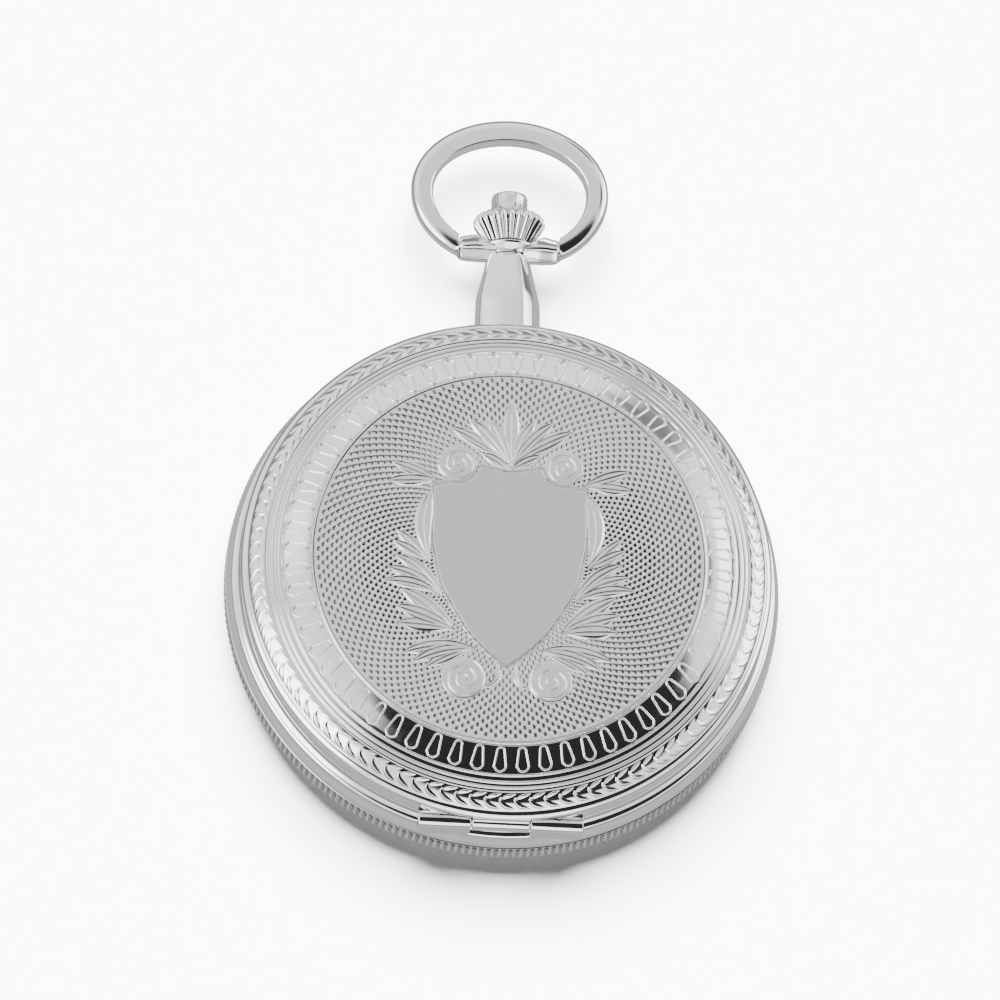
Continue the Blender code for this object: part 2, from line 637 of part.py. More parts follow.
def barrel():
    """Toothed drum, its arbor and the mainspring."""
    drum = turned("barrel_drum", [(7.5, 6.2), (7.5, 3.8), (7.2, 3.8), (7.2, 5.6), (1.3, 5.6), (1.3, 6.2)],
                  BRASS, (*BARREL_AT, 0), "Z", 24)
    to_centre = heading(BARREL_AT, DIAL_CENTRE)
    teeth = flat("barrel_teeth", [toothed(BARREL_AT, BARREL_TEETH, BARREL_MODULE,
                                          mesh_phase(BARREL_TEETH, to_centre, True)),
                                  circle(BARREL_AT, 7.35, 24)], 5.62, 6.12, BRASS)
    join(drum, teeth)
    turned("barrel_arbor", [(0, 6.95), (0.6, 6.95), (0.6, 6.25), (1.2, 6.25), (1.2, 3.15), (0.9, 3.15),
                            (0.9, 2.15), (0.45, 2.15), (0.45, 1.75), (0, 1.75)], STEEL, (*BARREL_AT, 0), "Z",
           SMALL_TURNS)
    turns, steps = 4, 12
    inner, outer, thickness = 1.75, 6.9, 0.22
    inside, outside = [], []
    for k in range(turns * steps + 1):
        share = k / (turns * steps)
        radius = inner + (outer - inner) * share
        inside.append(BARREL_AT + polar(radius - thickness / 2, 360 * turns * share))
        outside.append(BARREL_AT + polar(radius + thickness / 2, 360 * turns * share))
    flat("mainspring", [outside + inside[::-1]], 4.25, 5.45, BLUE)


def winding_work():
    """Pinions on the stem, crown wheel, ratchet wheel, click and their screws."""
    stem_gear("winding_pinion", WINDING_PINION_Y - 0.5, WINDING_PINION_Y + 0.7, PINION_RADIUS, 0)
    clutch = stem_gear("sliding_pinion", 13.9, 16.25, 1.2, 0.5)
    groove = turned("clutch_groove", [(0.85, 15.95), (1.6, 15.95), (1.6, 15.0), (0.85, 15.0)], STEEL,
                    (0, 0, STEM_Z), "Y", SMALL_TURNS)
    cut(clutch, groove)
    low, high = WINDING_LAYER
    to_barrel = heading(CROWN_WHEEL_AT, BARREL_AT)
    wheel = flat("crown_wheel", [toothed(CROWN_WHEEL_AT, CROWN_WHEEL_TEETH, WINDING_MODULE,
                                         mesh_phase(CROWN_WHEEL_TEETH, to_barrel, True)),
                                 circle(CROWN_WHEEL_AT, 0.6)], low, high, STEEL)
    rim_outline = []
    for k in range(CONTRATE_TEETH * 2):
        rim_outline.append(CROWN_WHEEL_AT + polar(2.75 if k % 2 else 2.55, 360 * k / CONTRATE_TEETH / 2))
    rim = flat("contrate_rim", [rim_outline, circle(CROWN_WHEEL_AT, 2.0, 16)], low + 0.1, 3.58, STEEL)
    join(wheel, rim)
    flat("ratchet_wheel", [toothed(BARREL_AT, RATCHET_TEETH, WINDING_MODULE,
                                   mesh_phase(RATCHET_TEETH, heading(BARREL_AT, CROWN_WHEEL_AT), False)),
                           circle(BARREL_AT, 0.55)], low, high, STEEL)
    screw("crown_wheel_screw", CROWN_SCREW_AT, 0.45, 1.4, low - 0.05, 2.9)
    screw("ratchet_screw", BARREL_AT, 0.0, 1.2, low - 0.05, 1.6)
    click_and_spring()


def stem_gear(name, low, high, radius, phase):
    """Small toothed wheel that the stem passes through."""
    outline = []
    for k in range(WINDING_PINION_TEETH):
        step = 360 / WINDING_PINION_TEETH
        outline.append(polar(radius, (k + phase) * step))
        outline.append(polar(radius * 0.82, (k + phase + 0.5) * step))
    made = flat(name, [outline, circle((0, 0), STEM_RADIUS + GAP)], low, high, STEEL)
    made.matrix_world = Matrix.Translation((0, 0, STEM_Z * MM)) @ Matrix.Rotation(-math.pi / 2, 4, "X")
    return made


def click_and_spring():
    """Click that holds the ratchet wheel, and its wire spring."""
    reach = pitch(RATCHET_TEETH, WINDING_MODULE) + 0.62 * WINDING_MODULE
    beak = BARREL_AT + polar(reach + 0.08, 160)
    pivot = BARREL_AT + polar(reach + 1.9, 182)
    side = (pivot - beak).normalized()
    across = Vector((-side.y, side.x))
    body = capsule(pivot, pivot - side * 2.6, 0.9, 0.3)
    flat("click", [body, circle(pivot, 0.35, 8)], *WINDING_LAYER, STEEL)
    root = pivot - across * 3.4 + side * 0.4
    flat("click_spring", [capsule(root, pivot - across * 1.25, 0.5, 0.18, 4)], *WINDING_LAYER, BLUE)


def screw(name, centre, shank_radius, head_radius, head_top, shank_end):
    """Slotted screw, head towards the back. A shank radius of 0 leaves the head only."""
    head_low = head_top - 0.4
    profile = [(0, head_top), (head_radius, head_top), (head_radius, head_low + 0.08),
               (head_radius - 0.1, head_low), (0, head_low)]
    if shank_radius:
        profile = [(0, shank_end), (shank_radius, shank_end), (shank_radius, head_top), *profile[1:]]
    made = turned(name, profile, BLUE, (*centre, 0), "Z", 12)
    slot = box(name + "_slot", (centre[0] - 3, centre[1] - 0.1, head_low - 0.5),
               (centre[0] + 3, centre[1] + 0.1, head_low + 0.16), BLUE)
    return cut(made, slot)


def keyless_levers():
    """Setting lever with its post in the stem's groove, and the yoke that shifts the clutch."""
    pivot = Vector((3.2, 17.5))
    lever = flat("setting_lever", [capsule(pivot, (0, 18.35), 0.8, 0.4)], 6.1, 6.38, STEEL)
    post = cylinder("lever_post", 0.17, 5.4, 6.2, STEEL, (0, 18.3), turns=8)
    join(lever, post)
    yoke_pivot = Vector((-4.4, 15.18))
    flat("yoke", [capsule(yoke_pivot, (-1.1, 15.18), 0.8, 0.15), circle(yoke_pivot, 0.3, 8)],
         4.8, 5.2, STEEL)


def motion_work():
    """Cannon pinion, minute wheel, hour wheel and the intermediate wheel of the setting work."""
    low = 7.5
    to_minute = heading(DIAL_CENTRE, MINUTE_AT)
    cannon = flat("cannon_pinion", [toothed(DIAL_CENTRE, CANNON_TEETH, CANNON_MODULE,
                                            mesh_phase(CANNON_TEETH, to_minute, True)),
                                    circle(DIAL_CENTRE, 0.36)], low, low + 0.16, STEEL)
    pipe = turned("cannon_pipe", [(0.36, 9.1), (0.55, 9.1), (0.55, low + 0.1), (0.36, low + 0.1)], STEEL,
                  turns=SMALL_TURNS)
    join(cannon, pipe)
    minute = flat("minute_wheel", [toothed(MINUTE_AT, MINUTE_TEETH, CANNON_MODULE,
                                           mesh_phase(MINUTE_TEETH, to_minute + 180, False)),
                                   circle(MINUTE_AT, 0.25, 8)], low, low + 0.16, BRASS)
    leaves = flat("minute_pinion", [toothed(MINUTE_AT, MINUTE_PINION, HOUR_MODULE,
                                            mesh_phase(MINUTE_PINION, to_minute + 180, True)),
                                    circle(MINUTE_AT, 0.25, 8)], low + 0.1, 7.94, BRASS)
    join(minute, leaves)
    hour = flat("hour_wheel", [toothed(DIAL_CENTRE, HOUR_TEETH, HOUR_MODULE,
                                       mesh_phase(HOUR_TEETH, to_minute, False)),
                               circle(DIAL_CENTRE, 0.62)], 7.74, 7.92, BRASS)
    hour_pipe = turned("hour_pipe", [(0.62, 8.78), (0.85, 8.78), (0.85, 7.8), (0.62, 7.8)], BRASS,
                       turns=SMALL_TURNS)
    join(hour, hour_pipe)
    to_intermediate = heading(MINUTE_AT, INTERMEDIATE_AT)
    phase = intermediate_phase(to_minute, to_intermediate)
    flat("intermediate_wheel", [toothed(INTERMEDIATE_AT, INTERMEDIATE_TEETH, CANNON_MODULE, phase),
                                circle(INTERMEDIATE_AT, 0.25, 8)], low, low + 0.16, BRASS)


def intermediate_phase(to_minute, to_intermediate):
    """Phase of the intermediate wheel that meshes with the minute wheel as that one stands."""
    minute_phase = mesh_phase(MINUTE_TEETH, to_minute + 180, False)
    shift = minute_phase - mesh_phase(MINUTE_TEETH, to_intermediate, True)
    return mesh_phase(INTERMEDIATE_TEETH, to_intermediate + 180, False) - shift


def escapement():
    """Pallet fork, balance with its staff, hairspring and regulator."""
    toward = heading(FORK_AT, BALANCE_AT)
    across = toward + 90
    lever = capsule(FORK_AT, FORK_AT + polar(2.35, toward), 0.35, 0.3)
    fork = flat("pallet_fork", [lever], 4.92, 5.06, STEEL)
    for side in (-1, 1):
        arm_end = FORK_AT + polar(1.75, across) * side - polar(1.18, toward)
        join(fork, flat("pallet_arm", [capsule(FORK_AT, arm_end, 0.3, 0.22, 4)], 4.94, 5.04, STEEL))
    join(fork, arbor("fork_arbor", FORK_AT, ((PIVOT, 6.9), (PIVOT, 6.4), (0.22, 6.3), (0.22, 4.82),
                                             (PIVOT, 4.8), (PIVOT, 4.5))))
    rim = flat("balance_wheel", [circle(BALANCE_AT, BALANCE_RADIUS, 36),
                                 *spokes(BALANCE_AT, 0.9, 4.35, 2, 0.7)], 3.85, 4.25, BRASS)
    staff = arbor("balance_staff", BALANCE_AT, ((PIVOT, 6.9), (PIVOT, 6.4), (0.3, 6.3), (0.3, 3.2),
                                                (PIVOT, 3.1), (PIVOT, 2.4)))
    roller = cylinder("roller", 0.55, 4.15, 4.7, STEEL, tuple(BALANCE_AT))
    join(rim, staff, roller)
    turns, steps = 4, 12
    inner, outer, thickness = 0.75, 2.9, 0.1
    inside, outside = [], []
    for k in range(turns * steps + 1):
        share = k / (turns * steps)
        radius = inner + (outer - inner) * share
        inside.append(BALANCE_AT + polar(radius - thickness / 2, 360 * turns * share + 300))
        outside.append(BALANCE_AT + polar(radius + thickness / 2, 360 * turns * share + 300))
    flat("hairspring", [outside + inside[::-1]], 3.35, 3.6, BLUE)
    pointer = BALANCE_AT + polar(3.3, 300)
    flat("regulator", [capsule(BALANCE_AT, pointer, 1.35, 0.25, 8), circle(BALANCE_AT, 0.85)],
         1.85, 2.12, STEEL)


# ---------------------------------------------------------------- plates and bridges


def bridge(name, outline, pillars, holes):
    """Flat bridge on round pillars, with a screw hole through each pillar."""
    low, high = BRIDGE_LAYER
    made = flat(name, [outline, *holes, *[circle(place, 0.52, 8) for place in pillars]], low, high, NICKEL)
    for place in pillars:
        top, foot = PLATE_LAYER[0] - GAP, high - 0.2
        profile = [(0.45, top), (PILLAR_RADIUS, top), (PILLAR_RADIUS, foot), (0.45, foot)]
        pillar = turned(name + "_pillar", profile, NICKEL, (*place, 0), "Z", SMALL_TURNS)
        join(made, pillar)
    return made


def bridges():
    """Barrel bridge, train bridge, balance cock and pallet bridge."""
    barrel_outline = [*arc(18.0, -14, 126, 15), Vector((-3.0, 4.0)), Vector((2.6, 0.6))]
    bridge("barrel_bridge", barrel_outline, BRIDGE_PILLARS["barrel_bridge"],
           [circle(BARREL_AT, 1.0, 12), circle(CROWN_WHEEL_AT, 3.0, 20), circle(CROWN_SCREW_AT, 0.52, 8)])
    train_outline = [*arc(18.0, -118, -20, 11), Vector((2.2, -0.3)), Vector((1.0, 1.1)),
                     Vector((-0.6, 1.8)), Vector((-2.4, 1.1)), Vector((-5.3, -7.0)), Vector((-6.8, -9.8))]
    bridge("train_bridge", train_outline, BRIDGE_PILLARS["train_bridge"],
           [circle(DIAL_CENTRE, 0.3, 8), *[circle(place, JEWEL_RADIUS + GAP) for place in JEWELS.values()]])
    bridge("balance_cock", capsule(BALANCE_AT, COCK_FOOT_AT, 1.9, 2.2), (COCK_FOOT_AT,),
           [circle(BALANCE_AT, 0.8, 12)])
    pallet_bridge = flat("pallet_bridge", [capsule(FORK_AT, FORK_AT + polar(3.9, 246), 0.9, 0.8),
                                           circle(FORK_AT, 0.2, 8)], 4.45, 4.75, NICKEL)
    foot = cylinder("pallet_bridge_foot", 0.6, 4.6, PLATE_LAYER[0] - GAP, NICKEL,
                    tuple(FORK_AT + polar(3.9, 246)))
    join(pallet_bridge, foot)


def jewels():
    """Ruby bearings in the train bridge and on the balance cock."""
    for name, place in JEWELS.items():
        flat(name, [circle(place, JEWEL_RADIUS), circle(place, 0.19, 8)], 2.3, 3.05, RUBY)
    flat("balance_jewel", [circle(BALANCE_AT, 0.74), circle(BALANCE_AT, 0.19, 8)], 2.15, 3.05, RUBY)


def main_plate():
    """Base plate of the movement with its bearing holes and keyless window."""
    holes = [circle(DIAL_CENTRE, 0.42, 8), circle(BARREL_AT, 0.66), circle(THIRD_AT, 0.2, 6),
             circle(FOURTH_AT, 0.22, 6), circle(ESCAPE_AT, 0.2, 6), circle(FORK_AT, 0.2, 6),
             circle(BALANCE_AT, 0.2, 6)]
    flat("main_plate", [circle(DIAL_CENTRE, PLATE_RADIUS, TURNS), *holes], *PLATE_LAYER, NICKEL)


def movement_ring():
    """Ring that centres the movement in the case."""
    ring = turned("movement_ring", [(18.72, 7.4), (20.12, 7.4), (20.12, 3.4), (18.72, 3.4)], NICKEL)
    gate = cylinder("ring_stem_hole", 1.2, 17, 21.5, NICKEL, (0, STEM_Z), "Y")
    lever_window = box("lever_window", (-1.2, 17, 5.0), (4.5, 19.9, 6.6), NICKEL)
    cut(ring, gate, lever_window)


def movement_screws():
    """Screws of the bridges and the cock, and the case screw."""
    places = [("barrel_bridge_screw_%d" % (k + 1), place)
              for k, place in enumerate(BRIDGE_PILLARS["barrel_bridge"][:2])]
    places += [("train_bridge_screw_%d" % (k + 1), place)
               for k, place in enumerate(BRIDGE_PILLARS["train_bridge"])]
    places.append(("balance_cock_screw", COCK_FOOT_AT))
    for name, place in places:
        screw(name, place, 0.38, 0.8, BRIDGE_LAYER[0] - 0.04, 6.0)
    screw("case_screw", polar(19.0, 150), 0.0, 1.0, 3.3, 3.3)


# ---------------------------------------------------------------- dial and hands

def dial():
    """Enamel dial with holes for the hand arbors."""
    flat("dial", [circle(DIAL_CENTRE, DIAL_RADIUS, TURNS), circle(DIAL_CENTRE, 0.95),
                  circle(FOURTH_AT, 0.25, 8)], *DIAL_LAYER, ENAMEL)


def hand(name, centre, length, tail, half_width, hole, hub, layer, degrees):
    """Leaf hand with a round hub; its direction is clockwise from 12 o'clock."""
    def place(along, aside):
        return Vector(centre) + polar(along, 90 - degrees) + polar(aside, -degrees)
    start = math.degrees(math.asin(half_width * 0.5 / hub))
    outline = [place(hub * math.cos(math.radians(start)), half_width * 0.5), place(length * 0.55, half_width),
               place(length, half_width * 0.1), place(length, -half_width * 0.1),
               place(length * 0.55, -half_width)]
    points = 12
    for k in range(points + 1):
        angle = 90 + start + (360 - 2 * start) * k / points - degrees
        outline.append(Vector(centre) + polar(hub, angle))
    if tail:
        far = 6
        outline[5 + far:5 + far + 1] = [place(-tail, -half_width), place(-tail, half_width)]
    flat(name, [outline, circle(centre, hole, 8)], *layer, BLUE)


def hands():
    """Hour, minute and seconds hands at ten past ten."""
    hand("hour_hand", DIAL_CENTRE, 9.6, 0, 0.75, 0.91, 1.5, (8.6, 8.74), 305)
    hand("minute_hand", DIAL_CENTRE, 15.2, 0, 0.6, 0.61, 1.2, (8.88, 9.0), 60)
    hand("seconds_hand", FOURTH_AT, 4.4, 1.6, 0.16, 0.17, 0.45, (8.42, 8.5), 0)


front_lid()
case_middle()
back_cover()
bezel_and_crystal()
hinge_pin()
lid_springs()
pendant_neck()
bow_collar()
bow()
crown()
stem_and_sleeves()
going_train()
barrel()
winding_work()
keyless_levers()
motion_work()
escapement()
bridges()
jewels()
main_plate()
movement_ring()
movement_screws()
dial()
hands()
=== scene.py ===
"""Looks of the hunter pocket watch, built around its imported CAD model. Lengths are in millimetres."""
import json
import math

import bmesh
import bpy
import numpy as np
from mathutils import Matrix, Vector


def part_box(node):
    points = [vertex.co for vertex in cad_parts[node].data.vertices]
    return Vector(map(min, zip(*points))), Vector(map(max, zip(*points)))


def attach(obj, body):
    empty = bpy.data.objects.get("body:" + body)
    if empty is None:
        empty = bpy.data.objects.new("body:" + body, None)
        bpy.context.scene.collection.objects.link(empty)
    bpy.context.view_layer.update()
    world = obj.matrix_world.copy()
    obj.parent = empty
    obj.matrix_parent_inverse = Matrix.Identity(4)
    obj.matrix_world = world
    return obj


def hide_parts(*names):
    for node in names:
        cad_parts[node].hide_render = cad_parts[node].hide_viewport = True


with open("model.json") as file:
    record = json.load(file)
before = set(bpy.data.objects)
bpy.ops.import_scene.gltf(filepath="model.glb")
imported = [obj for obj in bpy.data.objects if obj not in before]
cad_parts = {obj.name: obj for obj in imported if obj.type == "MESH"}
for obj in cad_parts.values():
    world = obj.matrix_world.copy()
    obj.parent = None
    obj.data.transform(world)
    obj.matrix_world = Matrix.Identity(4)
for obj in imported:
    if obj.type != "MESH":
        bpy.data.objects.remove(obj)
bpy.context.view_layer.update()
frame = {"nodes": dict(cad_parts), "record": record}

MM = 0.001
JOINTS = {joint["name"]: joint for joint in frame["record"]["behaviour"]["joints"]}


def joint_at(name):
    """Point on a joint's axis, in millimetres."""
    return np.array(JOINTS[name]["pos_m"]) / MM


def corners(node):
    """Lowest and highest corner of a CAD node, in millimetres."""
    low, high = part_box(node)
    return np.array(low) / MM, np.array(high) / MM


# ---------------------------------------------------------------- sizes, most of them from the frame

TOP_Z = corners("front_lid")[1][2]              # highest relief of the lid
LID_EDGE_Z = 8.96
MEDALLION_RADIUS = 16.98
GROUND_Z = TOP_Z - 0.24                         # pitted ground of the medallion
SEAT_Z = corners("bezel")[1][2] - 1.07
HINGE_Y, HINGE_Z = joint_at("lid_hinge")[1:]
STEM_Z = joint_at("crown_turn")[2]
BOW_Y = joint_at("bow_swing")[1]
NECK_HIGH = corners("pendant_neck")[1]
CROWN_LOW = corners("crown")[0]
COLLAR_HALF_WIDTH = corners("bow_collar")[1][0]
DIAL_Z = corners("dial")[1][2]
DIAL_RADIUS = corners("dial")[1][0]
SECONDS_AT = joint_at("seconds_run")[:2]
HINGE_HALF_WIDTH = corners("hinge_pin")[1][0] + 0.05
LID_KNUCKLE_HALF_WIDTH = 2.475

# Counts of the repeated ornament
DROPS = 60
LEAF_PAIRS = 105
PITS = 120
PIT_DEPTH = 0.11
REEDS = 240
FLUTES = 24


# ---------------------------------------------------------------- mesh building

def polar(radius, degrees):
    """Points at a radius and an angle from +X."""
    angle = np.radians(degrees)
    return np.stack([radius * np.cos(angle), radius * np.sin(angle)], -1)


def turned_by(degrees):
    """Matrix that turns rows of flat points anticlockwise about the origin."""
    turn = math.radians(degrees)
    return np.array([[math.cos(turn), math.sin(turn)], [-math.sin(turn), math.cos(turn)]])


def sheet(points, around=False, closed=False):
    """Surface through a grid of points (rows, columns, xyz); around joins the columns, closed the rows."""
    rows, columns = points.shape[:2]
    index = np.arange(rows * columns).reshape(rows, columns)
    if around:
        index = np.concatenate([index, index[:, :1]], 1)
    if closed:
        index = np.concatenate([index, index[:1]], 0)
    quads = np.stack([index[:-1, :-1], index[:-1, 1:], index[1:, 1:], index[1:, :-1]], -1)
    return points.reshape(-1, 3), quads.reshape(-1, 4).tolist()


def capped(shape, columns):
    """Close both ends of a sheet that goes around."""
    points, faces = shape
    last = len(points) - columns
    return points, faces + [list(range(columns))[::-1], list(range(last, last + columns))]


def turned_shape(profile, segments=256, closed=True):
    """Surface of revolution about Z from a profile of (radius, height)."""
    profile = np.array(profile)
    angle = np.linspace(0, 2 * np.pi, segments, endpoint=False)
    ring = np.stack([np.cos(angle), np.sin(angle)], -1)
    points = np.zeros((len(profile), segments, 3))
    points[..., :2] = profile[:, None, :1] * ring[None]
    points[..., 2] = profile[:, None, 1]
    return sheet(points, around=True, closed=closed)


def stood_on(shape, axis, centre):
    """Turn a shape made about Z so that it stands on X or Y, at a centre."""
    points, faces = shape
    order = {"Z": points, "Y": np.stack([points[:, 0], points[:, 2], -points[:, 1]], -1),
             "X": np.stack([points[:, 2], points[:, 1], -points[:, 0]], -1)}
    return order[axis] + np.array(centre), faces


def rounded(profile, radius, steps=4, closed=True):
    """Profile with each corner replaced by a small curve."""
    points = [np.array(p, float) for p in profile]
    count = len(points)
    made = []
    for k, corner in enumerate(points):
        if not closed and k in (0, count - 1):
            made.append(corner)
            continue
        before, after = points[k - 1] - corner, points[(k + 1) % count] - corner
        reach = min(radius, 0.45 * np.linalg.norm(before), 0.45 * np.linalg.norm(after))
        start = corner + before / np.linalg.norm(before) * reach
        stop = corner + after / np.linalg.norm(after) * reach
        for t in np.linspace(0, 1, steps):
            made.append((1 - t) ** 2 * start + 2 * t * (1 - t) * corner + t * t * stop)
    return made


def smooth_line(points, count, closed=False):
    """Even points along a Catmull-Rom curve through the given points."""
    points = np.array(points, float)
    if closed:
        extended = np.concatenate([points[-1:], points, points[:2]])
    else:
        extended = np.concatenate([2 * points[:1] - points[1:2], points, 2 * points[-1:] - points[-2:-1]])
    fine = []
    for a, b, c, d in zip(extended, extended[1:], extended[2:], extended[3:]):
        t = np.linspace(0, 1, 24, endpoint=False)[:, None]
        fine.append(0.5 * (2 * b + (c - a) * t + (2 * a - 5 * b + 4 * c - d) * t ** 2
                           + (3 * b - a - 3 * c + d) * t ** 3))
    fine = np.concatenate([*fine, extended[-2:-1]])
    along = np.concatenate([[0], np.cumsum(np.linalg.norm(np.diff(fine, axis=0), axis=1))])
    wanted = np.linspace(0, along[-1], count, endpoint=not closed)
    return np.stack([np.interp(wanted, along, fine[:, k]) for k in range(fine.shape[1])], -1)


def tube(path, radius, sides=8, closed=False):
    """Round wire along a path; radius may vary along it."""
    path = np.array(path, float)
    radius = np.broadcast_to(radius, len(path))
    if closed:
        tangent = np.roll(path, -1, 0) - np.roll(path, 1, 0)
    else:
        tangent = np.gradient(path, axis=0)
    tangent /= np.linalg.norm(tangent, axis=1)[:, None]
    across = np.cross(tangent, (0.01, 0.02, 1.0))   # a little off upright, so an upright path works too
    across /= np.linalg.norm(across, axis=1)[:, None]
    up = np.cross(across, tangent)
    angle = np.linspace(0, 2 * np.pi, sides, endpoint=False)
    ring = across[:, None] * np.cos(angle)[None, :, None] + up[:, None] * np.sin(angle)[None, :, None]
    shape = sheet(path[:, None] + ring * radius[:, None, None], around=True, closed=closed)
    return shape if closed else capped(shape, sides)


def rod(radius, low, high, axis, centre, segments=32, edge=0.05):
    """Pin with softened ends between two places along its axis."""
    profile = rounded([(0, low), (radius, low), (radius, high), (0, high)], edge, closed=False)
    return stood_on(turned_shape(profile, segments, closed=False), axis, centre)


def block(low, high):
    """Box between two corners."""
    x, y, z = zip(low, high)
    points = np.array([(a, b, c) for a in x for b in y for c in z])
    faces = [[0, 1, 3, 2], [4, 6, 7, 5], [0, 4, 5, 1], [2, 3, 7, 6], [0, 2, 6, 4], [1, 5, 7, 3]]
    return points, faces


def merged(shapes):
    """One shape out of many."""
    points, faces, offset = [], [], 0
    for these_points, these_faces in shapes:
        points.append(these_points)
        faces += [[k + offset for k in face] for face in these_faces]
        offset += len(these_points)
    return np.concatenate(points), faces


def mesh_object(name, shapes, material=None, sharp=40):
    """Object out of shapes, with welded points, outward faces and smooth shading."""
    points, faces = merged(shapes)
    data = bpy.data.meshes.new(name)
    data.from_pydata((points * MM).tolist(), [], faces)
    bm = bmesh.new()
    bm.from_mesh(data)
    bmesh.ops.remove_doubles(bm, verts=bm.verts, dist=2e-7)
    bmesh.ops.recalc_face_normals(bm, faces=bm.faces)
    bm.to_mesh(data)
    bm.free()
    data.shade_smooth()
    data.set_sharp_from_angle(angle=math.radians(sharp))
    made = bpy.data.objects.new(name, data)
    bpy.context.scene.collection.objects.link(made)
    if material:
        data.materials.append(material)
    return made


def piece(name, shapes, material, body, replaces=(), cutters=(), sharp=40):
    """Visible piece that rides on a body and may stand for CAD nodes."""
    made = mesh_object(name, shapes, material, sharp)
    if cutters:
        carve(made, cutters, sharp)
    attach(made, body)
    if replaces:
        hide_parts(*replaces)
    return made


def carve(made, cutters, sharp):
    """Cut shapes out of an object for good."""
    for k, shape in enumerate(cutters):
        cutter = mesh_object("cutter_%d" % k, [shape])
        step = made.modifiers.new("cut", "BOOLEAN")
        step.operation = "DIFFERENCE"
        step.object = cutter
        bpy.context.view_layer.update()
        evaluated = made.evaluated_get(bpy.context.evaluated_depsgraph_get())
        data = bpy.data.meshes.new_from_object(evaluated)
        made.modifiers.clear()
        made.data = data
        bpy.data.objects.remove(cutter, do_unlink=True)
    made.data.shade_smooth()
    made.data.set_sharp_from_angle(angle=math.radians(sharp))


# ---------------------------------------------------------------- materials

class Nodes:
    """Short way to wire a material's or a world's node tree."""

    def __init__(self, tree):
        self.tree = tree
        tree.nodes.clear()

    def add(self, kind, inputs=(), **settings):
        """Node with its settings; inputs map a socket's name or number to a value or to an output."""
        node = self.tree.nodes.new(kind)
        for name, value in settings.items():
            setattr(node, name, value)
        for name, value in dict(inputs).items():
            if isinstance(value, bpy.types.NodeSocket):
                self.tree.links.new(value, node.inputs[name])
            else:
                node.inputs[name].default_value = value
        return node

    def ramp(self, fac, stops):
        """Colour ramp over a factor: stops of (place, grey or colour)."""
        node = self.add("ShaderNodeValToRGB", {"Fac": fac})
        band = node.color_ramp
        while len(band.elements) < len(stops):
            band.elements.new(0.5)
        for element, (place, colour) in zip(band.elements, stops):
            element.position = place
            element.color = (colour, colour, colour, 1) if isinstance(colour, (int, float)) else (*colour, 1)
        return node.outputs["Color"]

    def noise(self, scale, detail=3.0, coordinate=None):
        """Noise in object space, scale in features per metre."""
        if coordinate is None:
            coordinate = self.add("ShaderNodeTexCoord").outputs["Object"]
        return self.add("ShaderNodeTexNoise", {"Vector": coordinate, "Scale": scale, "Detail": detail})

    def span(self, value, low, high, to_low, to_high, smooth=True):
        """Map a value from one range to another."""
        node = self.add("ShaderNodeMapRange", {"Value": value, "From Min": low, "From Max": high,
                                               "To Min": to_low, "To Max": to_high})
        node.interpolation_type = "SMOOTHSTEP" if smooth else "LINEAR"
        return node.outputs["Result"]


def material_nodes(name):
    """New material with an empty tree."""
    made = bpy.data.materials.new(name)
    made.use_nodes = True
    return made, Nodes(made.node_tree)


def metal(name, bright, dull, roughness, scratches=0.02, recess=0.4, grain=None, sheen_scale=260, pits=None):
    """Polished or satin metal: painted shade in the hollows, fine scratches and handling haze.

    recess is how dark the painted shade in the hollows goes; grain scales the scratches along each axis;
    pits is how dark the painted shade goes in the places that the mesh's own recess attribute marks, in
    place of recess, and that shade is weaker towards -X and +Y."""
    made, nodes = material_nodes(name)
    coordinate = nodes.add("ShaderNodeTexCoord").outputs["Object"]
    haze = nodes.noise(sheen_scale, 4.0, coordinate).outputs["Fac"]
    colour = nodes.ramp(haze, [(0.30, dull), (0.65, bright)])
    if pits is None:
        # painted shade: colour darkened where the surface curves into a hollow
        pointiness = nodes.add("ShaderNodeNewGeometry").outputs["Pointiness"]
        hollow = nodes.ramp(pointiness, [(0.40, recess), (0.50, 1.0)])
    else:
        # painted shade in the places the recess attribute marks, weaker towards -X and +Y
        depth = nodes.add("ShaderNodeAttribute", attribute_name="recess").outputs["Fac"]
        place = nodes.add("ShaderNodeVectorMath", {0: coordinate, 1: (0.6, -0.5, 0.0)},
                          operation="DOT_PRODUCT").outputs["Value"]
        shade_strength = nodes.span(place, -0.006, 0.010, 0.42, 1.0)
        pit_shade = nodes.add("ShaderNodeMath", {0: depth, 1: shade_strength}, operation="MULTIPLY").outputs["Value"]
        hollow = nodes.ramp(pit_shade, [(0.02, 1.0), (0.24, pits)])
    # random haze tone multiplied by the painted shade of the hollows
    haze_and_shade = nodes.add("ShaderNodeMix", {0: 1.0, 6: colour, 7: hollow}, data_type="RGBA", blend_type="MULTIPLY")
    stretch = nodes.add("ShaderNodeMapping", {"Vector": coordinate, "Scale": grain or (1, 1, 1)})
    scratch = nodes.noise(9000, 2.0, stretch.outputs["Vector"]).outputs["Fac"]
    low, high = roughness
    blur = nodes.noise(900, 5.0, coordinate).outputs["Fac"]
    bump = nodes.add("ShaderNodeBump", {"Strength": scratches, "Distance": 0.00002, "Height": scratch})
    shader = nodes.add("ShaderNodeBsdfPrincipled", {
        "Base Color": haze_and_shade.outputs[2], "Metallic": 1.0, "Roughness": nodes.span(blur, 0.3, 0.7, low, high),
        "Normal": bump.outputs["Normal"]})
    nodes.add("ShaderNodeOutputMaterial", {"Surface": shader.outputs["BSDF"]})
    return made


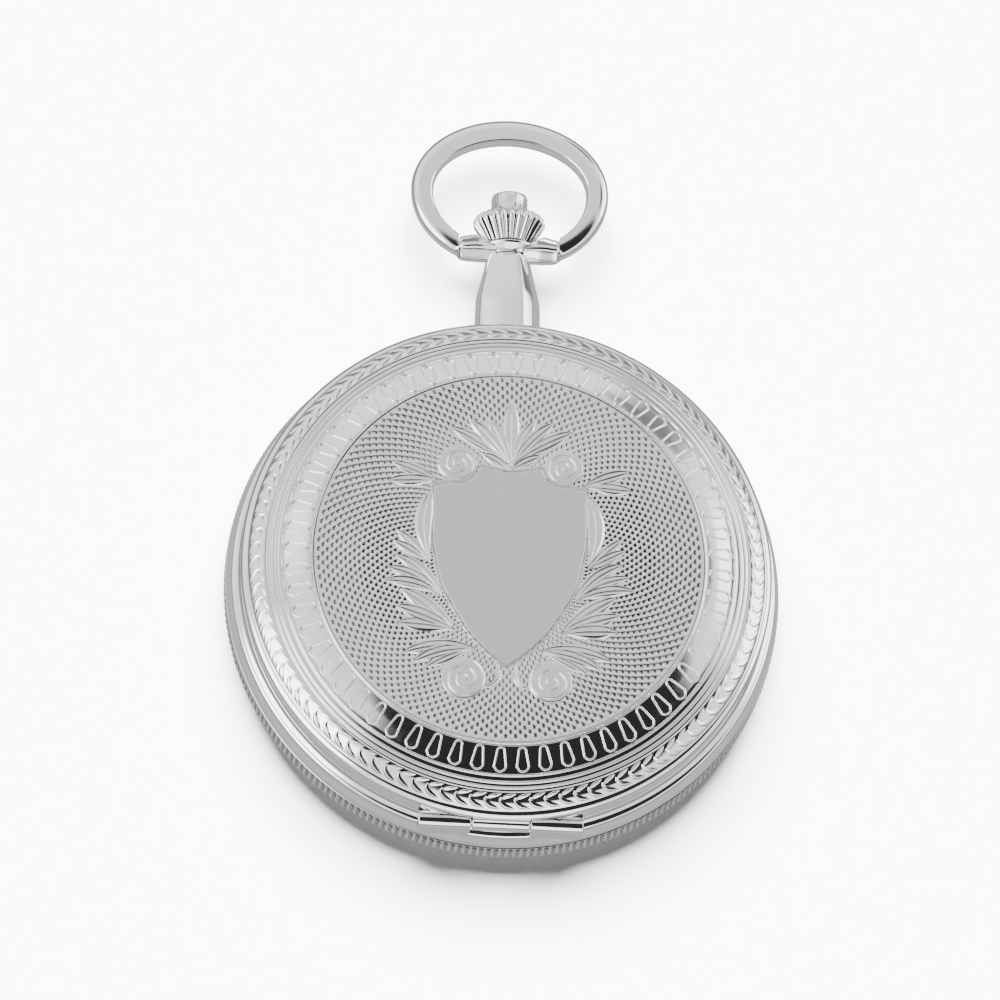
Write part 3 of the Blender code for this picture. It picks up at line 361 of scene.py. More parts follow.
def enamel(name, colour, shade, roughness):
    """Vitreous enamel or printed paint: faint mottling under a clear gloss."""
    made, nodes = material_nodes(name)
    cloud = nodes.noise(420, 4.0).outputs["Fac"]
    ripple = nodes.noise(160, 2.0).outputs["Fac"]
    bump = nodes.add("ShaderNodeBump", {"Strength": 0.05, "Distance": 0.0001, "Height": ripple})
    shader = nodes.add("ShaderNodeBsdfPrincipled", {
        "Base Color": nodes.ramp(cloud, [(0.3, shade), (0.7, colour)]),
        "Roughness": nodes.span(cloud, 0.3, 0.7, roughness, roughness + 0.08),
        "Coat Weight": 0.6, "Coat Roughness": 0.04, "Normal": bump.outputs["Normal"]})
    nodes.add("ShaderNodeOutputMaterial", {"Surface": shader.outputs["BSDF"]})
    return made


def glass(name):
    """Clear crystal: it shows what is behind it and reflects more at its edges.

    Known fault: seen at a low angle its inner face reflects everything, so the dial looks black."""
    made, nodes = material_nodes(name)
    smear = nodes.noise(300, 3.0).outputs["Fac"]
    clear = nodes.add("ShaderNodeBsdfTransparent", {"Color": nodes.ramp(smear, [(0.3, 0.95), (0.7, 0.985)])})
    gloss = nodes.add("ShaderNodeBsdfGlossy", {"Roughness": 0.02})
    edge = nodes.add("ShaderNodeFresnel", {"IOR": 1.45})
    both = nodes.add("ShaderNodeMixShader", {0: edge.outputs["Fac"], 1: clear.outputs["BSDF"],
                                             2: gloss.outputs["BSDF"]})
    nodes.add("ShaderNodeOutputMaterial", {"Surface": both.outputs["Shader"]})
    return made


# The hollows of each metal are darkened as painted shade; recess and pits set how dark.
CHROME = metal("polished_chrome", (0.88, 0.89, 0.90), (0.83, 0.84, 0.855), (0.05, 0.11))
BORDER = metal("struck_border", (0.86, 0.865, 0.87), (0.78, 0.79, 0.80), (0.10, 0.17), recess=0.3)
LEAF_FACE = metal("struck_leaf", (0.84, 0.84, 0.845), (0.78, 0.78, 0.785), (0.16, 0.24), recess=0.3)
SATIN = metal("satin_shield", (0.72, 0.72, 0.725), (0.7, 0.7, 0.705), (0.29, 0.31), 0.05, 1.0, (1, 8, 1))
PITTED = metal("engine_turned_ground", (0.92, 0.92, 0.925), (0.84, 0.845, 0.85), (0.17, 0.24), pits=0.17)
REEDED = metal("reeded_edge", (0.86, 0.87, 0.88), (0.81, 0.82, 0.835), (0.08, 0.14), pits=0.45)
STEEL = metal("fine_steel", (0.66, 0.68, 0.71), (0.56, 0.58, 0.61), (0.16, 0.26), 0.06, grain=(1, 12, 1))
GILT = metal("gilt_brass", (0.86, 0.64, 0.28), (0.74, 0.52, 0.20), (0.18, 0.30), 0.05)
NICKEL = metal("striped_nickel", (0.74, 0.73, 0.70), (0.60, 0.59, 0.57), (0.18, 0.34), 0.10, grain=(30, 1, 1))
BLUED = metal("blued_steel", (0.04, 0.09, 0.42), (0.08, 0.04, 0.30), (0.12, 0.20), 0.03, sheen_scale=600)
WHITE = enamel("white_enamel", (0.93, 0.92, 0.89), (0.88, 0.87, 0.84), 0.10)
BLACK = enamel("black_print", (0.018, 0.018, 0.022), (0.03, 0.03, 0.034), 0.25)
RUBY = enamel("ruby", (0.62, 0.02, 0.09), (0.42, 0.01, 0.05), 0.05)
GLASS = glass("mineral_crystal")

SLOT_MATERIALS = {"polished_case": CHROME, "engraved_lid": BORDER, "steel": STEEL, "gilt_brass": GILT,
                  "nickel_movement": NICKEL, "ruby": RUBY, "blued_steel": BLUED, "dial_enamel": WHITE,
                  "crystal_glass": GLASS}


def dress_cad_nodes():
    """Give every CAD node a material, chosen by its name."""
    plated = ("main_plate", "movement_ring", "barrel_bridge", "train_bridge", "balance_cock", "pallet_bridge")
    gilded = ("wheel", "barrel_drum")
    for name, node in frame["nodes"].items():
        slot = "steel"
        if name in plated:
            slot = "nickel_movement"
        elif name.endswith("jewel"):
            slot = "ruby"
        elif name in ("hairspring", "click_spring", "mainspring") or name.endswith("hand"):
            slot = "blued_steel"
        elif name.endswith(gilded):
            slot = "gilt_brass"
        node.data.materials.clear()
        node.data.materials.append(SLOT_MATERIALS[slot])
        node.data.shade_smooth()
        node.data.set_sharp_from_angle(angle=math.radians(30))


# ---------------------------------------------------------------- front lid

LID_TOP = (
    (0, GROUND_Z - 0.2), (16.8, GROUND_Z - 0.2), (16.88, GROUND_Z - 0.1), (16.92, GROUND_Z + 0.03),
    (17.06, GROUND_Z + 0.03), (17.14, GROUND_Z - 0.14), (17.3, 11.93), (18.2, 11.61), (19.1, 11.24),
    (19.5, 11.07))
LID_RIDGES = (
    (19.56, 11.16), (19.66, 11.13), (19.72, 11.01), (20.08, 10.88), (20.14, 10.94), (20.24, 10.91),
    (20.30, 10.80), (20.52, 10.72), (20.58, 10.77), (20.66, 10.74), (20.72, 10.62), (20.90, 10.56))
LID_BORDER = (
    (21.0, 10.60), (21.3, 10.52), (21.8, 10.22), (22.2, 9.90), (22.42, 9.64), (22.6, 9.60),
    (22.85, 9.42), (23.0, 9.2), (22.95, LID_EDGE_Z))
LID_INSIDE = (
    (22.4, LID_EDGE_Z), (22.0, 9.12), (22.4, 9.3), (21.9, 9.75), (20.4, 10.12), (19.2, 10.72),
    (16.9, 11.7), (0, 11.7))


def lid_surface(radius):
    """Height of the lid's outer surface at a radius."""
    profile = np.array(LID_TOP + LID_RIDGES + LID_BORDER[:-2])
    return np.interp(radius, profile[:, 0], profile[:, 1])


def lid_shell():
    """Domed shell with its ridges, and the hinge knuckle with its leaf."""
    profile = rounded([*LID_TOP, *LID_RIDGES, *LID_BORDER, *LID_INSIDE], 0.12, 3, closed=False)
    shell = turned_shape(profile, 288, closed=False)
    half = LID_KNUCKLE_HALF_WIDTH
    knuckle = rod(0.75, -half, half, "X", (0, HINGE_Y, HINGE_Z), 40, 0.08)
    leaf = block((-half, HINGE_Y - 0.25, HINGE_Z + 0.3), (half, HINGE_Y + 0.45, 9.25))
    piece("lid_shell", [shell, knuckle, leaf], CHROME, "lid", ["front_lid"])


def lid_medallion():
    """Engine-turned ground: rings of small pits, each ring half a step round from the last."""
    spacing = 0.39
    rings = int(2 * (MEDALLION_RADIUS - 1.5) / spacing) + 1
    columns = PITS * 4
    radii = MEDALLION_RADIUS - 0.12 - spacing / 2 * np.arange(rings)[::-1]
    angles = 360 / columns * np.arange(columns)
    points = np.zeros((rings, columns, 3))
    points[..., :2] = polar(radii[:, None], angles[None])
    ring, column = np.meshgrid(np.arange(rings), np.arange(columns), indexing="ij")
    pit = (ring % 2 == 1) & (column % 4 == 2 * (ring // 2 % 2)) & (ring < rings - 1)
    crest = (ring % 2 == 1) & (column % 4 == 2 - 2 * (ring // 2 % 2)) & (ring < rings - 1)
    points[..., 2] = GROUND_Z + np.where(pit, -PIT_DEPTH, 0) + np.where(crest, 0.03, 0)
    shape_points, quads = sheet(points, around=True)
    deep = pit.reshape(-1)
    faces = []
    for a, b, c, d in quads:
        if deep[a] or deep[c]:
            faces += [[a, b, d], [b, c, d]]
        else:
            faces += [[a, b, c], [a, c, d]]
    made = piece("lid_medallion", [(shape_points, faces)], PITTED, "lid", sharp=60)
    # Pit depth goes into the recess attribute, which the material turns into painted shade.
    heights = np.array([vertex.co.z for vertex in made.data.vertices]) / MM
    shade = made.data.attributes.new("recess", "FLOAT", "POINT")
    shade.data.foreach_set("value", np.clip((GROUND_Z - heights) / PIT_DEPTH, 0, 1))


def lid_drops():
    """Ring of raised teardrop outlines, wide end outwards."""
    outer_centre, outer_radius = 18.82, 0.51
    inner_centre, inner_radius = 17.68, 0.31
    outline = np.concatenate([
        np.array([outer_centre, 0]) + polar(outer_radius, np.linspace(-84, 84, 15)),
        np.array([inner_centre, 0]) + polar(inner_radius, np.linspace(96, 264, 11))])
    outline = smooth_line(outline, 44, closed=True)
    shapes = []
    for k in range(DROPS):
        wire = outline @ turned_by(360 * (k + 0.8) / DROPS)
        height = lid_surface(np.linalg.norm(wire, axis=1))
        shapes.append(tube(np.column_stack([wire, height + 0.04]), 0.095, 8, closed=True))
    piece("lid_drop_ring", shapes, CHROME, "lid", sharp=70)


def leaf(spine, half_width, height, ridges=1, rows=12, ground=None, belly=0.45, lean=0.0, veins=0.6):
    """Struck leaf along a flat spine: ridges run from root to tip; it sinks into the ground at its edges."""
    spine = smooth_line(spine, rows)
    along = np.linspace(0, 1, rows)
    width = half_width * np.sin(np.pi * (0.06 + 0.93 * along) ** (math.log(0.5) / math.log(belly))) ** 0.75
    tangent = np.gradient(spine, axis=0)
    tangent /= np.linalg.norm(tangent, axis=1)[:, None]
    normal = np.stack([-tangent[:, 1], tangent[:, 0]], -1)
    across = np.linspace(-1, 1, 6 * ridges + 5)
    flat = spine[:, None] + normal[:, None] * (across * width[:, None])[..., None]
    plateau = np.clip((1 - np.abs(across)) / 0.3, 0, 1)
    hump = 0.5 - 0.5 * np.cos(np.pi * (ridges + (ridges > 1)) * (across + 1))
    if ridges == 1:
        hump = 1 - np.abs(across - lean)
    section = plateau * (1 - veins + veins * hump)
    fade = np.minimum(1, 0.75 + 1.2 * np.sin(np.pi * along))
    level = GROUND_Z if ground is None else ground(np.linalg.norm(flat, axis=-1))
    lift = height * section[None] * fade[:, None] - 0.05
    points = np.concatenate([flat, (level + lift)[..., None]], -1)
    return capped(sheet(points, around=True), len(across))


def lid_border():
    """Laurel border: pairs of leaves with their tips turned anticlockwise."""
    step = 360 / LEAF_PAIRS
    shapes = []
    for k in range(LEAF_PAIRS):
        start = -k * step
        outer = [polar(21.42, start - 0.38 * step), polar(21.72, start - 0.40 * step),
                 polar(22.02, start - 0.05 * step), polar(22.22, start + 0.55 * step)]
        inner = [polar(21.52, start - 0.30 * step), polar(21.34, start + 0.08 * step),
                 polar(21.14, start + 0.62 * step)]
        shapes.append(leaf(outer, 0.27, 0.13, rows=10, ground=lid_surface, lean=-0.4))
        shapes.append(leaf(inner, 0.23, 0.11, rows=8, ground=lid_surface, lean=0.4))
    piece("lid_leaf_border", shapes, BORDER, "lid", sharp=50)


# Shield outline, right half, in medallion radii: top middle, scroll hollow, corner, side, tip
SHIELD_TOP = ((0, 0.47), (0.08, 0.48), (0.16, 0.50))
SHIELD_HOLLOW = ((0.16, 0.50), (0.18, 0.45), (0.21, 0.42), (0.26, 0.40), (0.31, 0.40), (0.39, 0.38))
SHIELD_SIDE = ((0.39, 0.38), (0.39, 0.25), (0.39, 0.10), (0.37, -0.02), (0.34, -0.15), (0.28, -0.27),
               (0.20, -0.40), (0.11, -0.50), (0, -0.59))


def shield_outline():
    """Closed outline of the shield in millimetres, clockwise from the top middle."""
    half = np.concatenate([smooth_line(SHIELD_TOP, 12)[:-1], smooth_line(SHIELD_HOLLOW, 22)[:-1],
                           smooth_line(SHIELD_SIDE, 48)])
    left = half[::-1][1:-1] * (-1, 1)
    return np.concatenate([half, left]) * MEDALLION_RADIUS


def lid_shield():
    """Smooth shield with a double raised border."""
    outline = shield_outline()
    steps = ((1.04, -0.05), (1.032, 0.08), (1.014, 0.08), (1.008, 0.0), (1.001, 0.0), (0.994, 0.10),
             (0.986, 0.12), (0.97, 0.12), (0.94, 0.12), (0.6, 0.12), (0.3, 0.12), (0.0, 0.12))
    rows = []
    for share, lift in steps:
        rows.append(np.column_stack([outline * share, np.full(len(outline), GROUND_Z + lift)]))
    piece("lid_shield", [sheet(np.array(rows), around=True)], SATIN, "lid", sharp=8)


def scroll(centre, radius, turns, start, hand):
    """Rolled scroll: a tapering wire wound on a low flat boss."""
    share = np.linspace(0, 1, int(30 * turns))
    angle = start + hand * 360 * turns * share
    wound = np.array(centre) + polar(radius * (1 - 0.93 * share ** 0.9), angle)
    height = GROUND_Z + 0.07 + 0.05 * share
    wire = tube(np.column_stack([wound, height]), 0.14 - 0.05 * share, 8)
    boss = turned_shape(((0, 0.04), (radius * 0.94, 0.034), (radius * 0.98, 0.03), (radius * 1.02, -0.06),
                         (0, -0.06)), 40)
    return [wire, (boss[0] + (*centre, GROUND_Z), boss[1])]


# Fans of leaves on the right half, in medallion radii and degrees:
# root, heading of the first leaf, step to the next, leaves, length, growth of each next leaf, bend and
# half width
FANS = (
    ((0.01, 0.52), 76, -17, 3, 0.26, 0.05, -22, 0.042),    # crest
    ((0.00, 0.48), 40, 0, 1, 0.17, 0, -20, 0.035),         # leaf on the shield's top edge
    ((0.37, 0.41), 28, -24, 2, 0.25, 0, -14, 0.040),       # spray at the shield's corner
    ((0.40, -0.02), 68, 0, 1, 0.38, 0, 45, 0.050),         # acanthus, from the shield's shoulder to its tip
    ((0.40, -0.04), 50, -14, 2, 0.24, -0.02, -12, 0.035),
    ((0.34, -0.22), 64, -14, 3, 0.33, -0.01, -45, 0.040),
    ((0.27, -0.40), 48, -16, 3, 0.35, -0.03, -22, 0.050),
    ((0.16, -0.50), 14, -9, 3, 0.38, -0.05, -40, 0.042),
    ((0.05, -0.57), -110, 0, 1, 0.17, 0, 90, 0.022),       # tail
)
MIDDLE_LEAF = (0, 0.50), 90, 0.36, 0, 0.045     # root, heading, length, bend and half width
LEAF_HEIGHT = 0.16
UPPER_SCROLL = ((0.27, 0.51), 1.65)    # centre in medallion radii, radius in millimetres
LOWER_SCROLL = ((0.22, -0.66), 1.90)


def bent_spine(root, heading, length, bend, count=16):
    """Arc in millimetres that leaves its root along the heading and turns by the bend."""
    angle = np.radians(heading + bend * np.linspace(0, 1, count - 1))
    steps = np.stack([np.cos(angle), np.sin(angle)], -1) * length / (count - 1)
    return (np.array(root) + np.vstack([(0, 0), np.cumsum(steps, 0)])) * MEDALLION_RADIUS


def fan_spines():
    """Spine and half width of every leaf, both halves."""
    *arc, half_width = MIDDLE_LEAF
    found = [(bent_spine(*arc), half_width * MEDALLION_RADIUS)]
    for root, heading, step, leaves, length, growth, bend, half_width in FANS:
        for k in range(leaves):
            spine = bent_spine(root, heading + k * step, length + k * growth, bend)
            for side in (1, -1):
                found.append((spine * (side, 1), half_width * MEDALLION_RADIUS))
    return found


def lid_foliage():
    """Broad flat leaves in fans round the shield, each with a raised vein, and four scrolls."""
    leaves, lines = [], []
    for k, (spine, half_width) in enumerate(fan_spines()):
        height = LEAF_HEIGHT + 0.008 * (k % 5)
        leaves.append(leaf(spine, half_width, height, 2, rows=18, belly=0.6, veins=0.14))
        vein = smooth_line(spine[1:-3], 14)
        level = np.full(len(vein), GROUND_Z + height - 0.06)
        lines.append(tube(np.column_stack([vein, level]), 0.075 - 0.035 * np.linspace(0, 1, len(vein)), 8))
    piece("lid_foliage", leaves, LEAF_FACE, "lid", sharp=30)
    for side in (1, -1):
        for (across, up), radius, start, hand in ((*UPPER_SCROLL, 90 - side * 100, -side),
                                                  (*LOWER_SCROLL, 90 + side * 30, side)):
            centre = np.array((side * across, up)) * MEDALLION_RADIUS
            lines += scroll(centre, radius, 2.4, start, hand)
    piece("lid_veins", lines, LEAF_FACE, "lid", sharp=60)


# ---------------------------------------------------------------- case

def case_middle():
    """Band with its groove, the seat of the lid and the outer knuckles of the hinge."""
    profile = [(22.55, SEAT_Z), (22.85, 8.5), (22.85, 6.78), (23.2, 6.5), (23.45, 6.42), (23.6, 6.2),
               (23.85, 5.4), (23.93, 4.75), (23.7, 4.7), (23.7, 2.8), (23.35, 2.36), (22.04, 2.36),
               (22.04, 1.75), (20.2, 1.75), (20.2, 7.9), (21.3, 7.9), (21.3, SEAT_Z)]
    ring = turned_shape(rounded(profile, 0.12, 3), 256)
    inner, outer = LID_KNUCKLE_HALF_WIDTH + 0.1, HINGE_HALF_WIDTH
    cutters = [rod(0.9, -inner, inner, "X", (0, HINGE_Y, HINGE_Z), 32),
               block((-inner, -23.7, HINGE_Z), (inner, -22.1, 9.2)),
               block((-1.9, 21.2, 6.6), (1.9, 22.45, 9.4)),      # slot for the latch
               block((-5.2, -22.1, 7.5), (5.2, -20, 9.4))]       # slot for the lift spring
    piece("case_band", [ring], CHROME, "case", ["case_middle"], cutters)
    shapes = []
    for side in (-1, 1):
        low, high = sorted((side * inner, side * outer))
        shapes.append(rod(0.75, low, high, "X", (0, HINGE_Y, HINGE_Z), 40, 0.08))
        shapes.append(block((low, -23.35, 6.25), (high, -21.25, HINGE_Z)))
    piece("case_knuckles", shapes, CHROME, "case")
    piece("hinge_rod", [rod(0.35, -outer + 0.05, outer - 0.05, "X", (0, HINGE_Y, HINGE_Z))], STEEL, "case",
          ["hinge_pin"])


def coin_edge():
    """Reeded edge round the band."""
    per_reed = 5
    columns = REEDS * per_reed
    angle = 360 / columns * np.arange(columns)
    wave = np.array([0.0, 0.7, 1.0, 0.7, 0.0])[np.arange(columns) % per_reed]
    sunk, reed_height = 0.06, 0.18
    rows = []
    # Groove bottoms between the reeds, which the material darkens as painted shade.
    hollow = []
    for base, height, share in ((23.6, 4.72, 0), (23.84, 4.72, 0), (23.88, 4.62, 0.2), (23.88, 4.5, 1),
                                (23.88, 2.95, 1), (23.84, 2.8, 0.3), (23.78, 2.7, 0), (23.6, 2.7, 0)):
        ring = polar(base - sunk + reed_height * (1 - share + share * wave), angle)
        rows.append(np.column_stack([ring, np.full(columns, height)]))
        hollow.append(share * (wave == 0))
    made = piece("case_coin_edge", [sheet(np.array(rows), around=True, closed=True)], REEDED, "case",
                 sharp=50)
    # the material paints shade where this attribute marks the grooves
    shade = made.data.attributes.new("recess", "FLOAT", "POINT")
    shade.data.foreach_set("value", np.concatenate(hollow).astype(np.float32))


def back_cover():
    """Shallow snap-on back with a fine ring of steps."""
    profile = [(0, 0.5), (11.5, 0.5), (17.2, 0.75), (20.8, 1.25), (22.1, 1.6), (22.1, 2.3), (23.3, 2.3),
               (23.2, 1.95), (22.9, 1.5), (22.75, 1.46), (22.6, 1.36), (21.2, 0.8), (19.4, 0.42),
               (17.5, 0.22), (15, 0.08), (12.1, 0.01), (12, 0), (0, 0)]
    piece("back_shell", [turned_shape(rounded(profile, 0.1, 3, closed=False), 256, closed=False)], CHROME,
          "case", ["back_cover"])


def bezel_and_crystal():
    """Polished ring and the domed crystal in it."""
    ring = [(19.15, 9.95), (20.5, 9.95), (20.9, 9.7), (21.2, 9.35), (21.2, 7.98), (20.35, 7.98),
            (20.35, 9.25), (19.15, 9.25)]
    piece("bezel_ring", [turned_shape(rounded(ring, 0.12, 4), 256)], CHROME, "case",
          ["bezel"])
    steps = 12
    outside = [(19.05 * k / steps, 10.8 - 1.32 * (k / steps) ** 2) for k in range(steps + 1)]
    inside = [(18.6 * k / steps, 10.12 - 1.3 * (k / steps) ** 2) for k in range(steps, -1, -1)]
    profile = [*outside, (19.05, 9.18), (20.25, 9.18), (20.25, 8.75), *inside]
    dome = piece("crystal_dome", [turned_shape(profile, 192, closed=False)], GLASS, "case",
                 ["crystal"])
    dome.visible_shadow = False     # the lamp reaches the dial through it


# ---------------------------------------------------------------- pendant, collar, crown and bow

NECK_TWIST = 17     # degrees about the stem


def neck_section(half_width, half_depth):
    """Eight-sided section in x and z with softened edges, screwed in a little past square."""
    wide, deep = 0.72, 0.5      # share of the width and depth that stays flat
    outline = [(half_width, half_depth * deep), (half_width * wide, half_depth),
               (-half_width * wide, half_depth), (-half_width, half_depth * deep),
               (-half_width, -half_depth * deep), (-half_width * wide, -half_depth),
               (half_width * wide, -half_depth), (half_width, -half_depth * deep)]
    return np.array(rounded(outline, 0.3, 5)) @ turned_by(NECK_TWIST)


def pendant_neck():
    """Faceted neck that narrows from the case to the bow."""
    top = NECK_HIGH[1] + 0.72
    stations = ((22.6, 2.74, 2.5), (23.6, 2.7, 2.45), (25.5, 2.66, 2.38), (26.6, 2.62, 2.33),
                (27.2, 2.50, 2.25), (28.6, 2.18, 2.08), (top - 0.7, 1.84, 1.86), (top - 0.35, 1.74, 1.78),
                (top - 0.12, 1.58, 1.6), (top, 1.2, 1.2))
    rows = []
    for along, half_width, half_depth in stations:
        section = neck_section(half_width, half_depth)
        rows.append(np.column_stack([section[:, 0], np.full(len(section), along), STEM_Z + section[:, 1]]))
    shape = capped(sheet(np.array(rows), around=True), len(rows[0]))
    piece("pendant", [shape], CHROME, "case", ["pendant_neck"], sharp=30)


def faceted(normals, tall, deep):
    """Section in y and z bounded by flats that touch an ellipse; normals in degrees from +z to +y."""
    angle = np.radians(normals)
    facing = np.stack([np.sin(angle), np.cos(angle)], -1)
    reach = np.hypot(tall * facing[:, 0], deep * facing[:, 1])
    points = []
    for k in range(len(normals)):
        points.append(np.linalg.solve(facing[[k - 1, k]], reach[[k - 1, k]]))
    return points


# Crown from the inside end outward: radius, distance above CROWN_LOW, share of the flutes' depth
CROWN_PROFILE = (
    (0.75, -1.02, 0), (1.72, -1.02, 0.6), (1.88, -0.96, 0.9), (2.05, -0.7, 1), (2.62, 0.2, 1),
    (2.98, 0.72, 1), (3.12, 0.96, 1), (3.14, 1.22, 1), (3.04, 1.50, 1), (2.80, 1.72, 1), (2.3, 1.84, 0.8),
    (1.72, 1.90, 0.3), (1.58, 2.05, 0), (1.58, 3.3, 0), (1.57, 3.5, 0), (1.48, 3.72, 0), (1.24, 3.85, 0),
    (0.8, 3.92, 0), (0, 3.94, 0))
CROWN_FLARE = slice(2, 8)   # the rows of the profile that widen
FLUTE_DEPTH = 0.15          # share of the radius
CROWN_TRAVEL = 0.6          # how far the crown is pressed in
CROWN_ROOM = 0.07           # clearance round the pressed crown
CUP_RIM = 0.12              # height of the cup's rim over the bow's pivots


def crown_room():
    """Space that the flare of the crown takes when it is pressed, with its clearance."""
    flare = [(radius + CROWN_ROOM, CROWN_LOW[1] + along - CROWN_TRAVEL - CROWN_ROOM)
             for radius, along, _ in CROWN_PROFILE[CROWN_FLARE]]
    low, high = flare[0][1] - 0.1, flare[-1][1] + 4
    profile = [(0, low), (flare[0][0], low), *flare, (flare[-1][0], high), (0, high)]
    return stood_on(turned_shape(profile, 96, closed=False), "Y", (0, 0, STEM_Z))


def bow_collar():
    """Cross piece: a cup under the crown and a creased barrel to each side for the bow's pivots."""
    outer = COLLAR_HALF_WIDTH
    half = ((1.2, 0.62, 1.9, -0.30), (1.9, 0.74, 1.66, -0.18), (2.5, 0.98, 1.42, -0.02),
            (3.1, 1.08, 1.28, 0.05), (3.8, 1.0, 1.2, 0), (outer - 0.08, 0.9, 1.14, 0), (outer, 0.8, 1.04, 0))
    stations = smooth_line(half, 36)
    shapes = []
    for side in (-1, 1):
        rows = []
        for along, tall, deep, rise in stations:
            section = np.array(rounded(faceted((100, 34, -50, -110, 165), tall, deep), 0.36, 7))
            rows.append(np.column_stack([np.full(len(section), side * along), BOW_Y + rise + section[:, 0],
                                         STEM_Z + section[:, 1]]))
        shapes.append(capped(sheet(np.array(rows), around=True), len(rows[0])))
    piece("collar", shapes, CHROME, "case", ["bow_collar"], [crown_room()], sharp=30)
    skirt = CROWN_PROFILE[:CROWN_FLARE.stop]
    heights = [CROWN_LOW[1] + along - CROWN_TRAVEL for _, along, _ in skirt]
    rim = BOW_Y + CUP_RIM
    inner = np.interp(rim, heights, [radius for radius, _, _ in skirt]) + CROWN_ROOM
    low = heights[0] - CROWN_ROOM
    wall = rounded([(1.0, low - 0.3), (inner - 0.3, low - 0.3), (inner + 0.26, low + 0.3), (inner + 0.3, rim),
                    (inner, rim), (inner - 0.02, low), (1.0, low)], 0.08, 4)
    piece("collar_cup", [stood_on(turned_shape(wall, 72), "Y", (0, 0, STEM_Z))], CHROME, "case")


def bow():
    """Oval bow: a broad rounded outside, a ridge and a narrow bevel to the inside."""
    centre_y, half_width = 36.8, 7.6
    angle = np.radians(np.linspace(-62, 242, 121))
    half_height = np.where(np.sin(angle) > 0, 5.6, 6.1)
    path = np.stack([half_width * np.cos(angle), centre_y + half_height * np.sin(angle)], -1)
    tangent = np.gradient(path, axis=0)
    tangent /= np.linalg.norm(tangent, axis=1)[:, None]
    outward = np.stack([tangent[:, 1], -tangent[:, 0]], -1)
    front = [(1.00, 0.0), (0.97, 0.26), (0.84, 0.52), (0.60, 0.70), (0.25, 0.80), (-0.25, 0.835),
             (-0.67, 0.835), (-0.745, 0.785), (-0.80, 0.66), (-0.92, 0.28), (-0.95, 0.12)]
    section = np.array(front + [(-0.95, -0.12)] + [(n, -z) for n, z in front[-2:0:-1]])
    high = np.clip(np.sin(angle), 0, 1)[:, None]
    low = np.clip(-np.sin(angle), 0, 1)[:, None]
    swell = 1 + np.where(section[:, 0] > 0, 0.25, 0.06) * high - 0.10 * low
    points = np.zeros((len(path), len(section), 3))
    points[..., :2] = path[:, None] + outward[:, None] * (section[:, 0] * swell)[..., None]
    points[..., 2] = STEM_Z + section[None, :, 1]
    inside = COLLAR_HALF_WIDTH + 0.08
    low = (points[..., 1] < BOW_Y + 2.5) & (np.abs(points[..., 0]) < inside)
    points[..., 0] = np.where(low, np.sign(points[..., 0]) * inside, points[..., 0])
    shapes = [capped(sheet(points, around=True), len(section))]
    for side in (-1, 1):
        low, high = sorted((side * 3.1, side * 4.6))
        shapes.append(rod(0.5, low, high, "X", (0, BOW_Y, STEM_Z)))
    piece("bow_oval", shapes, CHROME, "bow_ring", ["bow"], sharp=32)


def crown():
    """Crown with a fluted, scalloped lower tier and a button on top."""
    base = CROWN_LOW[1]
    per_flute = 12
    columns = FLUTES * per_flute
    angle = 360 / columns * np.arange(columns)
    petal = np.abs(np.cos(np.radians(angle * FLUTES / 2)))
    rows = []
    for radius, along, depth in CROWN_PROFILE:
        ring = polar(radius * (1 - FLUTE_DEPTH * depth * (1 - petal)), angle)
        rows.append(np.column_stack([ring[:, 0], np.full(columns, base + along), STEM_Z + ring[:, 1]]))
    piece("crown_knob", [sheet(np.array(rows), around=True)], CHROME, "winder", ["crown"],
          sharp=50)


# ---------------------------------------------------------------- dial and hands

def strokes(lines, width, low, high):
    """Flat bars between pairs of points, for print."""
    shapes = []
    for first, second, share in lines:
        first, second = np.array(first, float), np.array(second, float)
        along = (second - first) / np.linalg.norm(second - first)
        side = np.array([-along[1], along[0]]) * width * share / 2
        outline = [first - side, second - side, second + side, first + side]
        points = np.array([(*p, z) for z in (low, high) for p in outline])
        faces = [[3, 2, 1, 0], [4, 5, 6, 7], [0, 1, 5, 4], [1, 2, 6, 5], [2, 3, 7, 6], [3, 0, 4, 7]]
        shapes.append((points, faces))
    return shapes


NUMERALS = ("XII", "I", "II", "III", "IIII", "V", "VI", "VII", "VIII", "IX", "X", "XI")
LETTER_WIDTH = {"I": 0.55, "V": 1.25, "X": 1.35}
NUMERAL_RADIUS = 14.6
HOUR_HEADING, MINUTE_HEADING = 305, 60      # ten past ten, in degrees clockwise from XII


def numeral(text, hour):
    """Roman numeral that stands on the dial's centre, as strokes."""
    height, thin = 3.1, 0.28
    total = sum(LETTER_WIDTH[letter] for letter in text)
    left = -total / 2
    lines = []
    for letter in text:
        width = LETTER_WIDTH[letter]
        middle, half = left + width / 2, width / 2 - 0.12
        low, high = -height / 2, height / 2
        if letter == "I":
            lines.append(((middle, low), (middle, high), 1))
        elif letter == "V":
            lines.append(((middle - half, high), (middle, low), 1))
            lines.append(((middle, low), (middle + half, high), thin))
        else:
            lines.append(((middle - half, high), (middle + half, low), 1))
            lines.append(((middle - half, low), (middle + half, high), thin))
        left += width
    lines.append(((-total / 2, height / 2), (total / 2, height / 2), thin))
    lines.append(((-total / 2, -height / 2), (total / 2, -height / 2), thin))
    spin = turned_by(-30 * hour)
    lift = (0, NUMERAL_RADIUS)
    return [((np.array(a) + lift) @ spin, (np.array(b) + lift) @ spin, share) for a, b, share in lines]


def ticks(centre, count, inner, outer, wide_every):
    """Radial marks round a centre."""
    lines = []
    for k in range(count):
        mark = 90 - 360 * k / count
        wide = k % wide_every == 0
        lines.append((centre + polar(inner, mark), centre + polar(outer, mark), 1.0 if wide else 0.4))
    return lines


def thin_ring(centre, radius, width, low, high):
    """Printed circle."""
    profile = [(radius - width / 2, low), (radius + width / 2, low), (radius + width / 2, high),
               (radius - width / 2, high)]
    points, faces = turned_shape(profile, 144)
    return points + (*centre, 0), faces


